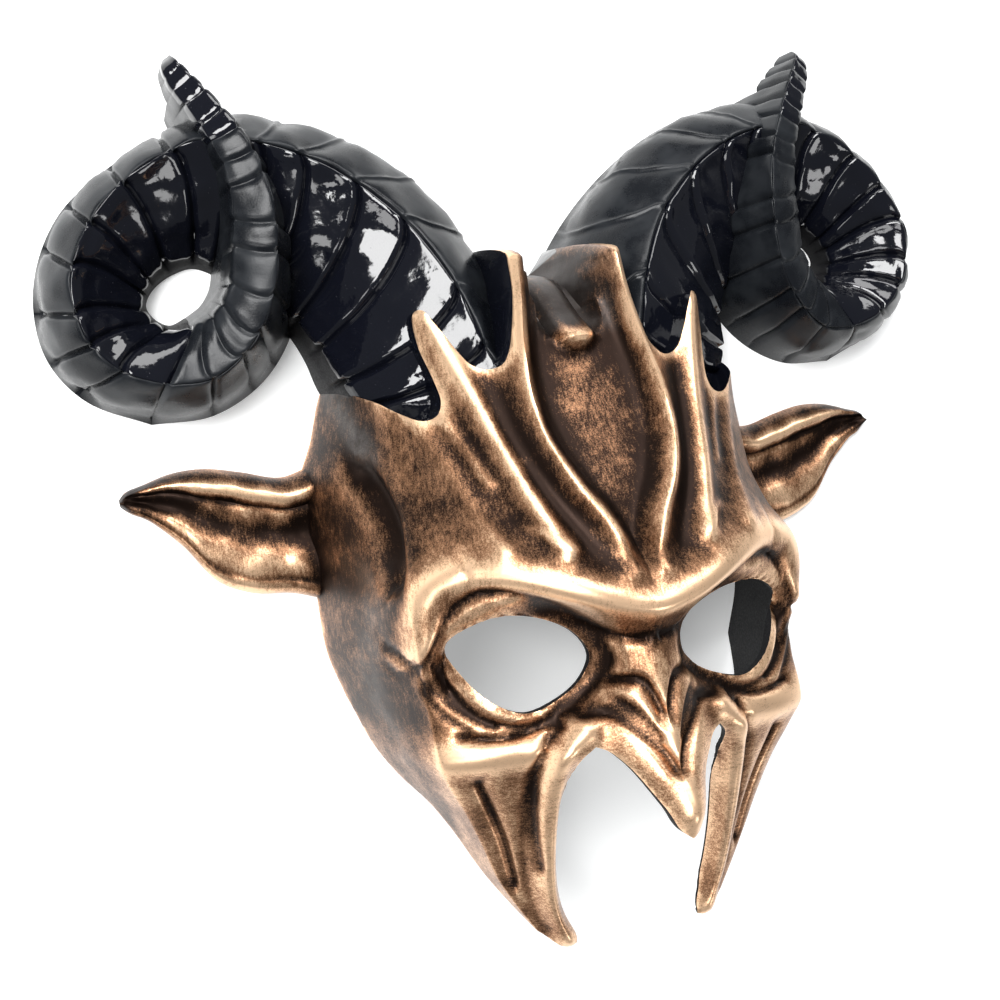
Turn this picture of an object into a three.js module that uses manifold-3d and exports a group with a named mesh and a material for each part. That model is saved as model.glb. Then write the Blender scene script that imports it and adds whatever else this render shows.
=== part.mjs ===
// A krampus mask: one thin formed plastic sheet with a horned demon face, open at the back.
// Millimetres. X runs across the face, Y up the face towards the horns, Z out of the face.
// The mask lies on its back: the rim of the temples, ears and horns is cut flat at Z = 0.

import * as THREE from "three";
import { mergeVertices } from "three/addons/utils/BufferGeometryUtils.js";
import Module from "manifold-3d";

const wasm = await Module();
wasm.setup();

// Driving dimensions
const SHEET = 1.6;             // wall thickness of the formed sheet
const MIDDLE_Y = 0.735;        // middle of the whole length, moved to Y = 0 at the end
const FACE_TOP = 79;           // Y of the rim behind the petals
const FACE_BOTTOM = -139;      // Y just below the tips of the moustache tails
const CAVITY_DEPTH = 4;        // how far the inside runs past the rim plane, so that it cuts clean
const TRIM_DEPTH = 20;         // how far the trimming bodies reach below the rim plane
const TRIM_HALF_WIDTH = 130;   // and to each side
const CUT_HEIGHT = 130;        // height of the bodies that cut through the sheet, above the nose
const WALL_COLUMNS = 3;        // steps down the side wall of the face
const RING_DEPTH = 1.5;        // depth of the grooves between the horn's rings

// Face profiles by height. Each row: Y, then the values at that height.
const MIDLINE = [              // Y, Z of the bare forehead and face on the middle line
  [-139, 57], [-120, 63], [-100, 70], [-80, 77], [-60, 82], [-40, 86], [-20, 86],
  [0, 79.5], [20, 69], [45, 58], [79, 51],
];
const FRONT_EDGE = [           // Y, half width and Z where the front turns into the side wall
  [-139, 26, 52], [-125, 35, 51.5], [-114, 41, 52], [-102, 45.5, 55], [-91, 50, 58.5], [-80, 55.5, 63],
  [-73, 58, 66], [-58, 58.5, 62], [-40, 61, 61], [-24, 61.5, 62], [-12, 59, 56], [0, 57, 50], [20, 57, 45],
  [35, 58, 42], [79, 54, 33],
];
const RIM = [                  // Y, half width of the rim where the side wall reaches Z = 0
  [-139, 33], [-120, 44], [-104, 50.5], [-95, 55.5], [-87, 62], [-77, 67.2], [-63, 71], [-46, 76],
  [-25, 77.2], [0, 79], [11, 78], [22, 73.5], [35, 69.5], [47, 64], [79, 60],
];
const NOSE = [                 // Y, height and half width of the beak over the face
  [-104, 31, 10], [-96, 30.5, 10.5], [-89, 31.5, 12.5], [-81, 25, 16], [-72, 18.5, 20], [-60, 12, 14],
  [-50, 8, 10], [-40, 3, 9], [-30, 0, 9],
];

// Where the rows of the face lie, from the tails to the petals: Y and the step between rows there
const ROW_STEPS = [[-139, 7], [-84, 5.5], [-66, 4.2], [-20, 4.5], [0, 6.6], [40, 6.2], [60, 4], [79, 3]];
// The lines that the carving flows along, as half widths by height: petal edge and nose ridge, flame, spike
// and mouth corner, temple ridge and tail groove
const FLOW = [
  [-139, 4, 11, 19.5, 23], [-120, 5, 13, 25, 32], [-100, 5, 13, 26, 34.6], [-85, 5, 12, 24.7, 34.3],
  [-71, 4.5, 11.5, 19, 30.5], [-60, 4, 10, 18.5, 33], [-48, 3.5, 8.5, 14.5, 33], [-34, 3, 7, 16.5, 34],
  [-24, 3, 6.2, 19, 36], [-16, 5.5, 9.2, 21, 37.5], [-10, 8, 12, 24, 40], [-2, 13, 15.7, 27, 42.5],
  [5, 16.2, 18.6, 29, 45], [14, 19, 21.5, 31.8, 48.5], [20, 19.7, 22.7, 33.5, 51.5],
  [28, 20, 23.5, 35.5, 54.5], [37, 19, 24.5, 38.3, 56], [43, 18.5, 25, 40, 56.5], [57, 16.5, 25.5, 43, 55],
  [79, 15.5, 26, 42, 51],
];
const FLOW_STEPS = [3, 2, 2, 3, 3];  // columns between the middle line, the flow lines and the front's edge
const BROW = { mid: -33.5, rise: 14.5, reach: 50 };  // Y of the brow on the middle line, its rise outwards
// The roll of the brow: its height, how much lower it is past the eye, its half widths above and below its line
const BROW_ROLL = { height: 10.5, fall: 5, above: 10, below: 6 };
const SOCKET = { x: 33.5, y: -47.3, halfWidth: 20, halfHeight: 14.5 };  // the hollow that the eye sits in
// The hollow of the temple in front of the ear: where it is deepest, as Y and as a share of the side wall
const TEMPLE = { y: 2, share: 0.33, halfLength: 17, halfShare: 0.25, depth: 4 };

// The top of the face falls back to the rim: between the petals in a gully from Y 38 on, which a round
// tongue runs down, and behind the petals more steeply. Each row: Y, Z.
const GULLY = [[38, 72], [44, 56], [48, 49], [52, 43], [56, 38], [62, 30], [67, 18], [70.5, 0]];
const PETAL_TOP = [[60, 74], [66, 60.5], [70, 54], [73, 43], [76, 26], [79, 0]];
const GULLY_WALL = [7.5, 13.5];                           // half widths of its foot and its top
const TONGUE = { end: 46, radius: 5.5, height: 6.5 };     // Y of its round end's centre

// Carved ridges: path as X, Y points on one half, height, and half widths left and right of the path
// as it runs down the face.
const WELT = { height: 5.5, halfWidth: 3.2, hollow: 2.6 };  // along the petal's edge, and the panel inside it
const PETAL = [[15.5, 69], [16.5, 57], [18.5, 43], [20, 28], [19, 14], [14, 0.5], [8, -10], [3, -24]];
const SPIKE = [[44, 54], [40, 43], [35.5, 28], [31.8, 14], [27, -2], [21, -16]];
const TEMPLE_RIDGE = [[64, 36], [55, 28], [48.5, 14], [45, 5], [41, -7], [38, -14]];
const FLAME = [[24.5, 37], [22.7, 20], [18.6, 5], [12, -10], [6.2, -24]];
const BROW_END = [[50, -19.5], [57, -23], [60.5, -31], [60, -41]];
const CHEEK_RIDGE = [[59, -72.5], [48, -72], [39, -71], [31, -71.5]];
const TAIL_ROLL = [[22, -66.5], [27.5, -73], [29.5, -84], [30, -98], [29.5, -112], [28, -124], [24.5, -134]];
const TAIL_GROOVE = [[29, -69], [33.5, -78], [34.8, -92], [34, -108], [32, -121], [29, -130]];
const CHEEK_SLIT = [[47.5, -80], [43.5, -91], [40, -103], [37.5, -116]];
const LOWER_LID = [[50, -50], [45, -58.5], [36, -64.5], [27, -62.5]];
const NOSTRIL_UPPER = [[11, -54], [6, -54.5], [3.2, -59], [1.6, -65]];
const NOSTRIL_LOWER = [[17, -60.5], [10.5, -62.5], [5.5, -69], [1.8, -77.5]];

// Cut outlines on one half
const EYE = [[52.3, -40.3], [44, -34.5], [35.5, -33.5], [25, -36.3], [17, -41.5], [14.1, -48], [18, -54.8],
  [26.5, -59.5], [34.5, -61.1], [42.5, -57.3], [48.5, -50.5]];
const EYE_SOCKET = [[10, 78], [14, 75.5], [30, 75], [36, 74], [43, 71.5], [48, 67.5], [53, 61]];  // X, Z
const NOSE_EDGE = [[0, -96], [3, -93.4], [6, -87.2], [10, -79.6], [13, -75.4], [16, -72.4], [19, -71]];
const TAIL_EDGE = [[19, -71], [22, -74.5], [24, -81], [25.4, -90], [26, -100], [26, -110], [25, -120],
  [22.8, -128], [20, -134], [20.6, -137.4], [24, -138.6]];
const CHIN_TRIM = { y: -62, run: 90, slope: 0.743 };  // the rim rises from here to the tips of the tails
// The upper edge of the face skin where it lies over the roots of the horns: petal, inner scallop, spike,
// outer scallop and temple
const SCALLOPS = [[0, 70.5], [7, 70.8], [10.5, 74.5], [15, 79.4], [17.4, 76], [18, 68], [18.4, 58], [20.4, 47],
  [22.3, 40.5], [25, 36.8], [29, 36], [33.2, 38], [37, 43.6], [41, 51], [44.2, 55.8], [46.2, 55],
  [46.2, 46], [43.8, 35], [42.9, 28], [44.6, 24.2], [48.5, 23.2], [54, 26.2], [60.5, 31.8], [68, 37.6], [78, 40]];

// Horns, by stations from the root round the coil. Each row: rim X, Y; crest X, Y, Z; inner edge of the front
// X, Y, Z; foot of the inner wall X, Y; how far the side band bulges out between the rim and the crest.
const HORN_ARC = [
  [-2, 36, 18, 28, 50, 52, 16, 34, 55, 16, 1],
  [3, 56, 25, 44, 49.5, 60, 27.5, 33, 63, 26.5, 3],
  [12.5, 75, 31, 63, 46.5, 66.5, 39.5, 27, 69, 38.5, 6],
  [26, 92.5, 40.5, 81, 41, 70, 49.5, 20, 72, 48, 8],
  [44, 108.5, 53, 94.5, 38, 75, 59, 15, 76.5, 57, 8],
  [64.5, 120.5, 67, 104.5, 35, 82.5, 68, 12, 84, 66, 6],
  [86, 126, 83, 110.5, 33.5, 92.5, 77, 10, 94, 75, 5],
  [107, 122, 100.5, 112, 32, 102.5, 81.5, 9.5, 103, 80, 4],
  [126, 112.5, 119, 104, 30.5, 111, 80, 9.5, 110.5, 78.5, 3],
  [142.5, 98, 132.5, 91, 29.5, 117.5, 75.5, 10, 116.5, 74.5, 3],
  [151.5, 78, 140, 75, 29.5, 120.5, 69.5, 10.5, 119.3, 69.6, 3],
  [151, 57, 138.5, 59, 29.5, 118.5, 64, 12, 117.3, 65.3, 3],
  [140.5, 41.5, 130, 47.5, 28.5, 113.5, 60.5, 16.5, 113, 63, 3],
  [122, 32.5, 117, 41.5, 28.5, 107.5, 59.5, 23, 108, 65, 2],
];
const HORN_TIP = [
  [122, 32.5, 117, 41.5, 28.5, 107.5, 59.5, 23, 108, 65, 2],
  [103, 33.5, 103.5, 42.5, 30, 102.5, 61, 28.5, 103.5, 68, 2],
  [86.5, 42.5, 92, 51, 34, 98.5, 65.5, 32, 101, 71, 1],
  [75.5, 57, 85, 62.5, 37.5, 96, 71, 33.5, 99.3, 74.5, 0.5],
  [70.5, 75, 81.8, 77, 40, 94.8, 80, 35, 98.3, 80, 0.5],
  [71, 92, 81.8, 91.5, 41, 93.8, 90, 36, 97.5, 90, 0.5],
  [76, 107, 84.2, 103.5, 40, 94.8, 100.5, 37, 98.5, 100, 0.5],
  [81.5, 118.5, 88.6, 113.5, 38.4, 97.8, 110, 36, 101.5, 109, 0.5],
  [88.5, 124.5, 93.5, 122, 35.4, 102.2, 119, 33.5, 105.5, 121, 0.5],
  [95.5, 132.5, 99, 130, 32, 106.4, 127, 30, 108, 130, 0.5],
  [101.5, 138.5, 103.2, 136, 28.5, 108.2, 133.8, 27, 109, 136, 0],
  [104, 140.5, 104.8, 139, 24, 107.4, 137.6, 23, 108, 138.5, 0],
];
const TIP_TRIM = { y: 127, rise: 3.5, level: 15 };  // past here the underside of the tip climbs to this level
const ARC_RINGS = 14;          // rings from the root to the bottom of the coil
const TIP_RINGS = 11;          // rings on the last stretch, which crosses in front of the arc
const TIP_HOLLOW = 0.82;       // how far the hollow runs into the last stretch

// Ears, by stations from the root to the tip. Each row: lower edge X, Y; upper edge X, Y; height.
const EAR = [
  [70, -25, 70, 13, 10],
  [84, -25.5, 84, 12, 9.5],
  [97, -24, 97, 15, 9],
  [108, -18.5, 108, 17.2, 8.5],
  [117, -6.5, 118, 16.8, 7.5],
  [126, 2.5, 127, 14.2, 6],
  [133.5, 7, 134, 11, 4],
];

const EAR_HOLLOW = 0.88;       // how far the hollow runs into the ear

// Curves
function smoothstep(low, high, value) {
  const t = Math.min(1, Math.max(0, (value - low) / (high - low)));
  return t * t * (3 - 2 * t);
}

// Values at t from rows that start with their own t, on a smooth curve through them
function along(rows, t) {
  const last = rows.length - 1;
  const clamped = Math.min(rows[last][0], Math.max(rows[0][0], t));
  let i = 0;
  while (i < last - 1 && clamped > rows[i + 1][0]) i += 1;
  const [a, b] = [rows[i], rows[i + 1]];
  const before = rows[Math.max(0, i - 1)];
  const after = rows[Math.min(last, i + 2)];
  const span = b[0] - a[0];
  const u = (clamped - a[0]) / span;
  return a.slice(1).map((value, k) => {
    const slopeIn = (b[k + 1] - before[k + 1]) / (b[0] - before[0]);
    const slopeOut = (after[k + 1] - a[k + 1]) / (after[0] - a[0]);
    return value * (2 * u ** 3 - 3 * u ** 2 + 1) + slopeIn * span * (u ** 3 - 2 * u ** 2 + u)
      + b[k + 1] * (3 * u ** 2 - 2 * u ** 3) + slopeOut * span * (u ** 3 - u ** 2);
  });
}

function curvePoints(points, steps, closed = false) {
  const curve = new THREE.CatmullRomCurve3(points.map(([x, y]) => new THREE.Vector3(x, y, 0)), closed, "centripetal");
  return curve.getPoints(steps).map((p) => [p.x, p.y]);
}

// Distance from a point to a path, positive to the left of the path's direction
function pathDistance(path, x, y) {
  let best = Infinity;
  let side = 1;
  for (let i = 0; i + 1 < path.length; i += 1) {
    const [ax, ay] = path[i];
    const [bx, by] = path[i + 1];
    const [dx, dy] = [bx - ax, by - ay];
    const t = Math.min(1, Math.max(0, ((x - ax) * dx + (y - ay) * dy) / (dx * dx + dy * dy)));
    const gap = Math.hypot(x - ax - t * dx, y - ay - t * dy);
    if (gap < best) {
      best = gap;
      side = dx * (y - ay) - dy * (x - ax) >= 0 ? 1 : -1;
    }
  }
  return best * side;
}

function ridge(points, height, left, right = left) {
  const path = curvePoints(points, points.length * 5);
  return (x, y) => {
    const gap = pathDistance(path, x, y);
    return height * Math.exp(-((gap / (gap > 0 ? left : right)) ** 2));
  };
}

// Carving of the face, as heights over the bare front
const petalPath = curvePoints(PETAL, 40);
const carvings = [
  ridge(SPIKE, 4, 3.5, 3.5),
  ridge(TEMPLE_RIDGE, 2.6, 4, 3.5),
  ridge(FLAME, 1.6, 3, 3),
  ridge(CHEEK_RIDGE, 2.2, 5, 3.5),
  ridge(TAIL_ROLL, 4.5, 4.2, 4.2),
  ridge(TAIL_GROOVE, -2.4, 2.2, 2.2),
  ridge(CHEEK_SLIT, -2.4, 2.2, 2.2),
  ridge(LOWER_LID, -1.8, 3, 3),
  ridge(NOSTRIL_UPPER, -1.8, 2.2, 2.2),
  ridge(NOSTRIL_LOWER, -2, 2.4, 2.4),
];

// The middle panel of the forehead: a raised welt along the petal's edge with a hollow inside it
function petal(x, y) {
  const gap = pathDistance(petalPath, x, y);
  const fade = smoothstep(-26, -12, y);
  const welt = WELT.height * Math.exp(-((gap / WELT.halfWidth) ** 2));
  const hollow = gap < 0 ? -WELT.hollow * smoothstep(0, 6, -gap) * fade : 0;
  return welt * (0.35 + 0.65 * fade) + hollow;
}

// The short round tongue that hangs over the top of the middle panel
function tongue(x, y) {
  const { end, radius, height } = TONGUE;
  return height * (1 - smoothstep(radius - 2, radius + 2, Math.hypot(x, Math.min(0, y - end))));
}

// How high the face can be where its top falls back to the rim
function topWall(x, y) {
  if (y < GULLY[0][0]) return Infinity;
  const [gully] = along(GULLY, y);
  const [behind] = along(PETAL_TOP, y);
  return gully + tongue(x, y) + (behind - gully) * smoothstep(...GULLY_WALL, x);
}

function browLift(x) {
  return BROW.rise * smoothstep(0, BROW.reach, x);
}

// The brow: a heavy roll that rises outwards and hooks down past the corner of the eye
const browEnd = ridge(BROW_END, 5.5, 6, 6.5);
function brow(x, y) {
  const gap = y - BROW.mid - browLift(x);
  const { height, fall, above, below } = BROW_ROLL;
  const here = (height - fall * smoothstep(12, 46, x)) * (1 - smoothstep(46, 54, x));
  return Math.max(here * Math.exp(-((gap / (gap > 0 ? above : below)) ** 2)), browEnd(x, y));
}

function nose(x, y) {
  const [height, width] = along(NOSE, y);
  return height * Math.exp(-((x / width) ** 2));
}

// How far a point lies in the eye socket, from 0 outside to 1 at the opening
function inSocket(x, y) {
  const reach = Math.hypot((x - SOCKET.x) / SOCKET.halfWidth, (y - SOCKET.y) / SOCKET.halfHeight);
  return 1 - smoothstep(0.92, 1.32, reach);
}

// Z of the front of the face
function front(x, y) {
  const half = Math.abs(x);
  const [middle] = along(MIDLINE, y);
  const [width, edge] = along(FRONT_EDGE, y);
  const share = Math.min(1, half / width);
  const bare = middle + (edge - middle) * share ** 2.5;
  const carved = carvings.reduce((sum, carving) => sum + carving(half, y), 0);
  const outside = bare + carved * (1 - share ** 8) + petal(half, y) + tongue(half, y) + brow(half, y) + nose(half, y);
  const socket = inSocket(half, y);
  const inside = socket > 0 ? outside + (along(EYE_SOCKET, half)[0] - outside) * socket : outside;
  return Math.min(inside, topWall(half, y));
}

// Columns across half the front, as fractions of the way between the flow lines
function columnPlaces(y) {
  const [width] = along(FRONT_EDGE, y);
  const lines = [0, ...along(FLOW, y), width];
  return FLOW_STEPS.flatMap((steps, k) => {
    return Array.from({ length: steps }, (_, i) => lines[k] + ((lines[k + 1] - lines[k]) * i) / steps);
  }).concat(width);
}

// One side of a cross section, from the middle line to the rim. The rows bow up along the brow.
function halfSection(row) {
  const window = smoothstep(-64, BROW.mid - 4, row) * (1 - smoothstep(BROW.mid, 18, row));
  const [rim] = along(RIM, row);
  const points = columnPlaces(row).map((x, i, all) => {
    const y = row + window * browLift(x);
    const place = columnPlaces(y)[i];
    return [i === all.length - 1 ? x : place, y, Math.max(0, front(place, y))];
  });
  const [x0, y0, z0] = points[points.length - 1];
  for (let j = 1; j <= WALL_COLUMNS; j += 1) {
    const t = j / WALL_COLUMNS;
    const x = x0 + (rim - x0) * (t + 0.35 * t * (1 - t));
    points.push([x - templeHollow(y0, t), y0 + (row - y0) * t, z0 * (1 - t)]);
  }
  return points;
}

// Depth of the hollow of the temple at a share t of the way down the side wall
function templeHollow(y, t) {
  const [along, down] = [(y - TEMPLE.y) / TEMPLE.halfLength, (t - TEMPLE.share) / TEMPLE.halfShare];
  return TEMPLE.depth * Math.exp(-(along ** 2) - down ** 2);
}

function section(row) {
  const half = halfSection(row);
  const mirrored = half.slice(1).reverse().map(([x, y, z]) => [-x, y, z]);
  return [...mirrored, ...half];
}

// A chain of points moved square to itself, within its own upright plane, to its right-hand side
function insetChain(chain, distance) {
  const [first, last] = [chain[0], chain[chain.length - 1]];
  const length = Math.hypot(last[0] - first[0], last[1] - first[1]);
  const axis = [(last[0] - first[0]) / length, (last[1] - first[1]) / length];
  const flat = chain.map(([x, y, z]) => [x * axis[0] + y * axis[1], z]);
  return chain.map(([x, y, z], i) => {
    const before = flat[Math.max(0, i - 1)];
    const after = flat[Math.min(flat.length - 1, i + 1)];
    const run = [after[0] - before[0], after[1] - before[1]];
    const size = Math.hypot(...run);
    const out = [run[1] / size, -run[0] / size];
    return [x + axis[0] * out[0] * distance, y + axis[1] * out[0] * distance, z + out[1] * distance];
  });
}

// Closed bodies
function solid(points, triangles) {
  const geometry = new THREE.BufferGeometry();
  geometry.setAttribute("position", new THREE.Float32BufferAttribute(points.flat(), 3));
  geometry.setIndex(triangles.flat());
  return toManifold(geometry);
}

function toManifold(geometry) {
  const bare = geometry.clone();
  bare.deleteAttribute("normal");
  bare.deleteAttribute("uv");
  const merged = mergeVertices(bare, 1e-4);
  return new wasm.Manifold(new wasm.Mesh({
    numProp: 3,
    vertProperties: merged.attributes.position.array,
    triVerts: new Uint32Array(merged.index.array),
  }));
}

// A body through open chains that all start and end on its flat underside
function loft(chains, floor) {
  const rings = chains.map((chain) => {
    const [first, last] = [chain[0], chain[chain.length - 1]];
    return [[first[0], first[1], floor], ...chain.slice(1, -1), [last[0], last[1], floor]];
  });
  const size = rings[0].length;
  const points = rings.flat();
  const triangles = [];
  for (let r = 0; r + 1 < rings.length; r += 1) {
    for (let k = 0; k < size; k += 1) {
      const next = (k + 1) % size;
      const [a, b, c, d] = [r * size + k, r * size + next, (r + 1) * size + next, (r + 1) * size + k];
      triangles.push([a, b, c], [a, c, d]);
    }
  }
  for (const [r, flip] of [[0, true], [rings.length - 1, false]]) {
    const ring = rings[r];
    const centre = [0, 1, 2].map((axis) => ring.reduce((sum, p) => sum + p[axis], 0) / size);
    centre[2] = (Math.max(...ring.map((p) => p[2])) + floor) / 3;
    points.push(centre);
    for (let k = 0; k < size; k += 1) {
      const pair = [r * size + k, r * size + ((k + 1) % size)];
      triangles.push(flip ? [pair[1], pair[0], points.length - 1] : [pair[0], pair[1], points.length - 1]);
    }
  }
  return solid(points, triangles);
}

function prism(outline, low, high) {
  const shape = new THREE.Shape(outline.map(([x, y]) => new THREE.Vector2(x, y)));
  const geometry = new THREE.ExtrudeGeometry(shape, { depth: high - low, bevelEnabled: false, steps: 1 });
  geometry.translate(0, 0, low);
  return toManifold(geometry);
}

function mirroredX(body) {
  return body.mirror([1, 0, 0]);
}

function both(body) {
  return body.add(mirroredX(body));
}

// The heights of the rows of the face
function faceRows() {
  const rows = [FACE_BOTTOM];
  while (rows[rows.length - 1] < FACE_TOP) {
    rows.push(rows[rows.length - 1] + along(ROW_STEPS, rows[rows.length - 1])[0]);
  }
  rows[rows.length - 1] = FACE_TOP;
  return rows;
}

// The face: the block under its front, cut to the scalloped upper edge
function faceBlock(inset) {
  const chains = faceRows().map((row) => section(row));
  const block = loft(inset ? insetGrid(chains, inset) : chains, inset ? -CAVITY_DEPTH : 0);
  return block.intersect(prism(skinOutline(inset), -CAVITY_DEPTH, CUT_HEIGHT));
}

// A grid of points moved square to the surface through them, to its inside
function insetGrid(chains, distance) {
  return chains.map((chain, r) => chain.map((point, k) => {
    const [low, high] = [chains[Math.max(0, r - 1)][k], chains[Math.min(chains.length - 1, r + 1)][k]];
    const [left, right] = [chain[Math.max(0, k - 1)], chain[Math.min(chain.length - 1, k + 1)]];
    const up = new THREE.Vector3(...high).sub(new THREE.Vector3(...low));
    const across = new THREE.Vector3(...right).sub(new THREE.Vector3(...left));
    const out = across.cross(up).setLength(distance);
    return [point[0] - out.x, point[1] - out.y, point[2] - out.z];
  }));
}

function skinOutline(inset) {
  const upper = curvePoints(SCALLOPS, 50);
  const drawn = inset ? insetOutline(upper, inset) : upper;
  const low = FACE_BOTTOM + inset;
  const half = [...drawn, [100, drawn[drawn.length - 1][1]], [100, low]];
  return [...half, ...half.slice(1).reverse().map(([x, y]) => [-x, y])];
}

// The open path moved square to itself, to its right-hand side, without the points that would fold over
function insetOutline(path, distance) {
  const moved = path.map(([x, y], i) => {
    const before = path[Math.max(0, i - 1)];
    const after = path[Math.min(path.length - 1, i + 1)];
    const run = [after[0] - before[0], after[1] - before[1]];
    const size = Math.hypot(...run);
    return [i === 0 ? 0 : x + (run[1] / size) * distance, y - (run[0] / size) * distance];
  });
  return moved.filter(([x, y]) => Math.abs(pathDistance(path, x, y)) > distance - 0.05);
}

// Horns: chains from the rim over the crest and the front to the foot of the inner wall. The grooves
// between the rings cut into the side band and the front, and run out at the rim and at the foot.
function hornChain(station, groove, inset) {
  const [rimX, rimY, crestX, crestY, crestZ, edgeX, edgeY, edgeZ, footX, footY, bulge] = station;
  const rim = [rimX, rimY, 0];
  const crest = [crestX, crestY, crestZ];
  const edge = [edgeX, edgeY, edgeZ];
  const mix = (a, b, t, rise = 0) => a.map((value, k) => value + (b[k] - value) * t + (k === 2 ? rise : 0));
  const reach = Math.hypot(rimX - crestX, rimY - crestY);
  const out = [(rimX - crestX) / reach, (rimY - crestY) / reach, 0];
  const band = (t, rise) => mix(rim, crest, t, rise).map((value, k) => value + 4 * t * (1 - t) * bulge * out[k]);
  const belly = 0.07 * Math.hypot(edgeX - crestX, edgeY - crestY);
  const chain = [rim, band(0.5, 2.2), band(0.92, 0.8), mix(crest, edge, 0.12, 0.6), mix(crest, edge, 0.42, belly),
    mix(crest, edge, 0.74, belly), edge, [footX, footY, 0]];
  const carved = insetChain(chain, groove).map((point, i) => (i === 0 || i > chain.length - 3 ? chain[i] : point));
  return inset ? insetChain(carved, inset) : carved;
}

// Depth of the ring grooves along a horn of the given number of rings, at t from 0 to 1
function ringGroove(t, rings) {
  const phase = (t * rings) % 1;
  return RING_DEPTH * (1 - smoothstep(0, 0.45, Math.min(phase, 1 - phase)));
}

// A horn's length, hollow as far as the given share of it
function hornBlock(stations, rings, inset, hollow) {
  const rows = stations.map((row, i) => [i / (stations.length - 1), ...row]);
  const steps = inset ? rings : rings * 2;
  const chains = [];
  for (let i = 0; i <= steps; i += 1) {
    const t = inset ? (hollow * i) / steps : i / steps;
    chains.push(hornChain(along(rows, t), inset ? RING_DEPTH : ringGroove(t, rings), inset));
  }
  return loft(chains, inset ? -CAVITY_DEPTH : 0);
}

// Ears: a leaf with a raised upper roll and a hollow bowl
function earChain(station) {
  const [lowX, lowY, highX, highY, height] = station;
  const at = (t, z) => [lowX + (highX - lowX) * t, lowY + (highY - lowY) * t, z];
  return [at(0, 0), at(0.05, 0.5 * height), at(0.16, 0.8 * height), at(0.4, 0.5 * height), at(0.62, 0.5 * height),
    at(0.82, height), at(0.94, 0.85 * height), at(1, 0)];
}

function earBlock(inset) {
  const rows = EAR.map((row, i) => [i / (EAR.length - 1), ...row]);
  const steps = inset ? 6 : 12;
  const chains = [];
  for (let i = 0; i <= steps; i += 1) {
    const chain = earChain(along(rows, ((inset ? EAR_HOLLOW : 1) * i) / steps)).reverse();
    chains.push(inset ? insetChain(chain, inset) : chain);
  }
  return loft(chains, inset ? -CAVITY_DEPTH : 0);
}

function maskBlock(inset) {
  const horn = hornBlock(HORN_ARC, ARC_RINGS, inset, 1).add(hornBlock(HORN_TIP, TIP_RINGS, inset, TIP_HOLLOW));
  return faceBlock(inset).add(both(horn.add(earBlock(inset))));
}

// Openings cut through the sheet, and the back trimmed away under the chin
function mouthOutline() {
  const half = [...curvePoints(NOSE_EDGE, 16), ...curvePoints(TAIL_EDGE, 24).slice(1), [60, -139.5], [60, -150]];
  return [...half, ...half.slice(1).reverse().map(([x, y]) => [-x, y])];
}

// A body that cuts away all that lies under a line of Y, Z points, right across the mask
function underTrim(line) {
  const [first, last] = [line[0], line[line.length - 1]];
  const outline = [...line, [last[0], -TRIM_DEPTH], [first[0], -TRIM_DEPTH]];
  const body = prism(outline, -TRIM_HALF_WIDTH, TRIM_HALF_WIDTH);
  // the outline is drawn as Y, Z and extruded along X
  return body.transform([0, 1, 0, 0, 0, 0, 1, 0, 1, 0, 0, 0, 0, 0, 0, 1]);
}

function chinTrim() {
  const { y, run, slope } = CHIN_TRIM;
  return underTrim([[y, 0], [y - run, run * slope]]);
}

function tipTrim() {
  const { y, rise, level } = TIP_TRIM;
  return underTrim([[y, 0], [y + rise, level], [y + 30, level + 3]]);
}

const eyes = both(prism(curvePoints(EYE, 32, true), -CAVITY_DEPTH, CUT_HEIGHT));
const shell = maskBlock(0)
  .subtract(maskBlock(SHEET))
  .subtract(eyes)
  .subtract(prism(mouthOutline(), -CAVITY_DEPTH, CUT_HEIGHT))
  .subtract(chinTrim())
  .subtract(tipTrim());

function toGeometry(body) {
  const mesh = body.getMesh();
  const geometry = new THREE.BufferGeometry();
  geometry.setAttribute("position", new THREE.BufferAttribute(new Float32Array(mesh.vertProperties), 3));
  geometry.setIndex(new THREE.BufferAttribute(new Uint32Array(mesh.triVerts), 1));
  geometry.translate(0, -MIDDLE_Y, 0);
  geometry.computeVertexNormals();
  return geometry;
}

const copper = new THREE.MeshStandardMaterial({ color: 0xb4703f, roughness: 0.4, metalness: 0.7 });
const shellMesh = new THREE.Mesh(toGeometry(shell), copper);
shellMesh.name = "mask_shell";

const mask = new THREE.Group();
mask.add(shellMesh);

export default mask;
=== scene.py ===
"""A krampus mask lying on its back on a pale floor: a thin formed sheet with coiled horns and pointed ears.

Sizes are in millimetres in the mask's own frame until the mesh is made: X across the face, Y up the face
towards the horns, Z out of the face. The rim of the temples, ears and horns lies on the floor at Z = 0.
"""

import math

import bmesh
import bpy
import numpy as np
from mathutils import Matrix, Vector


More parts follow.
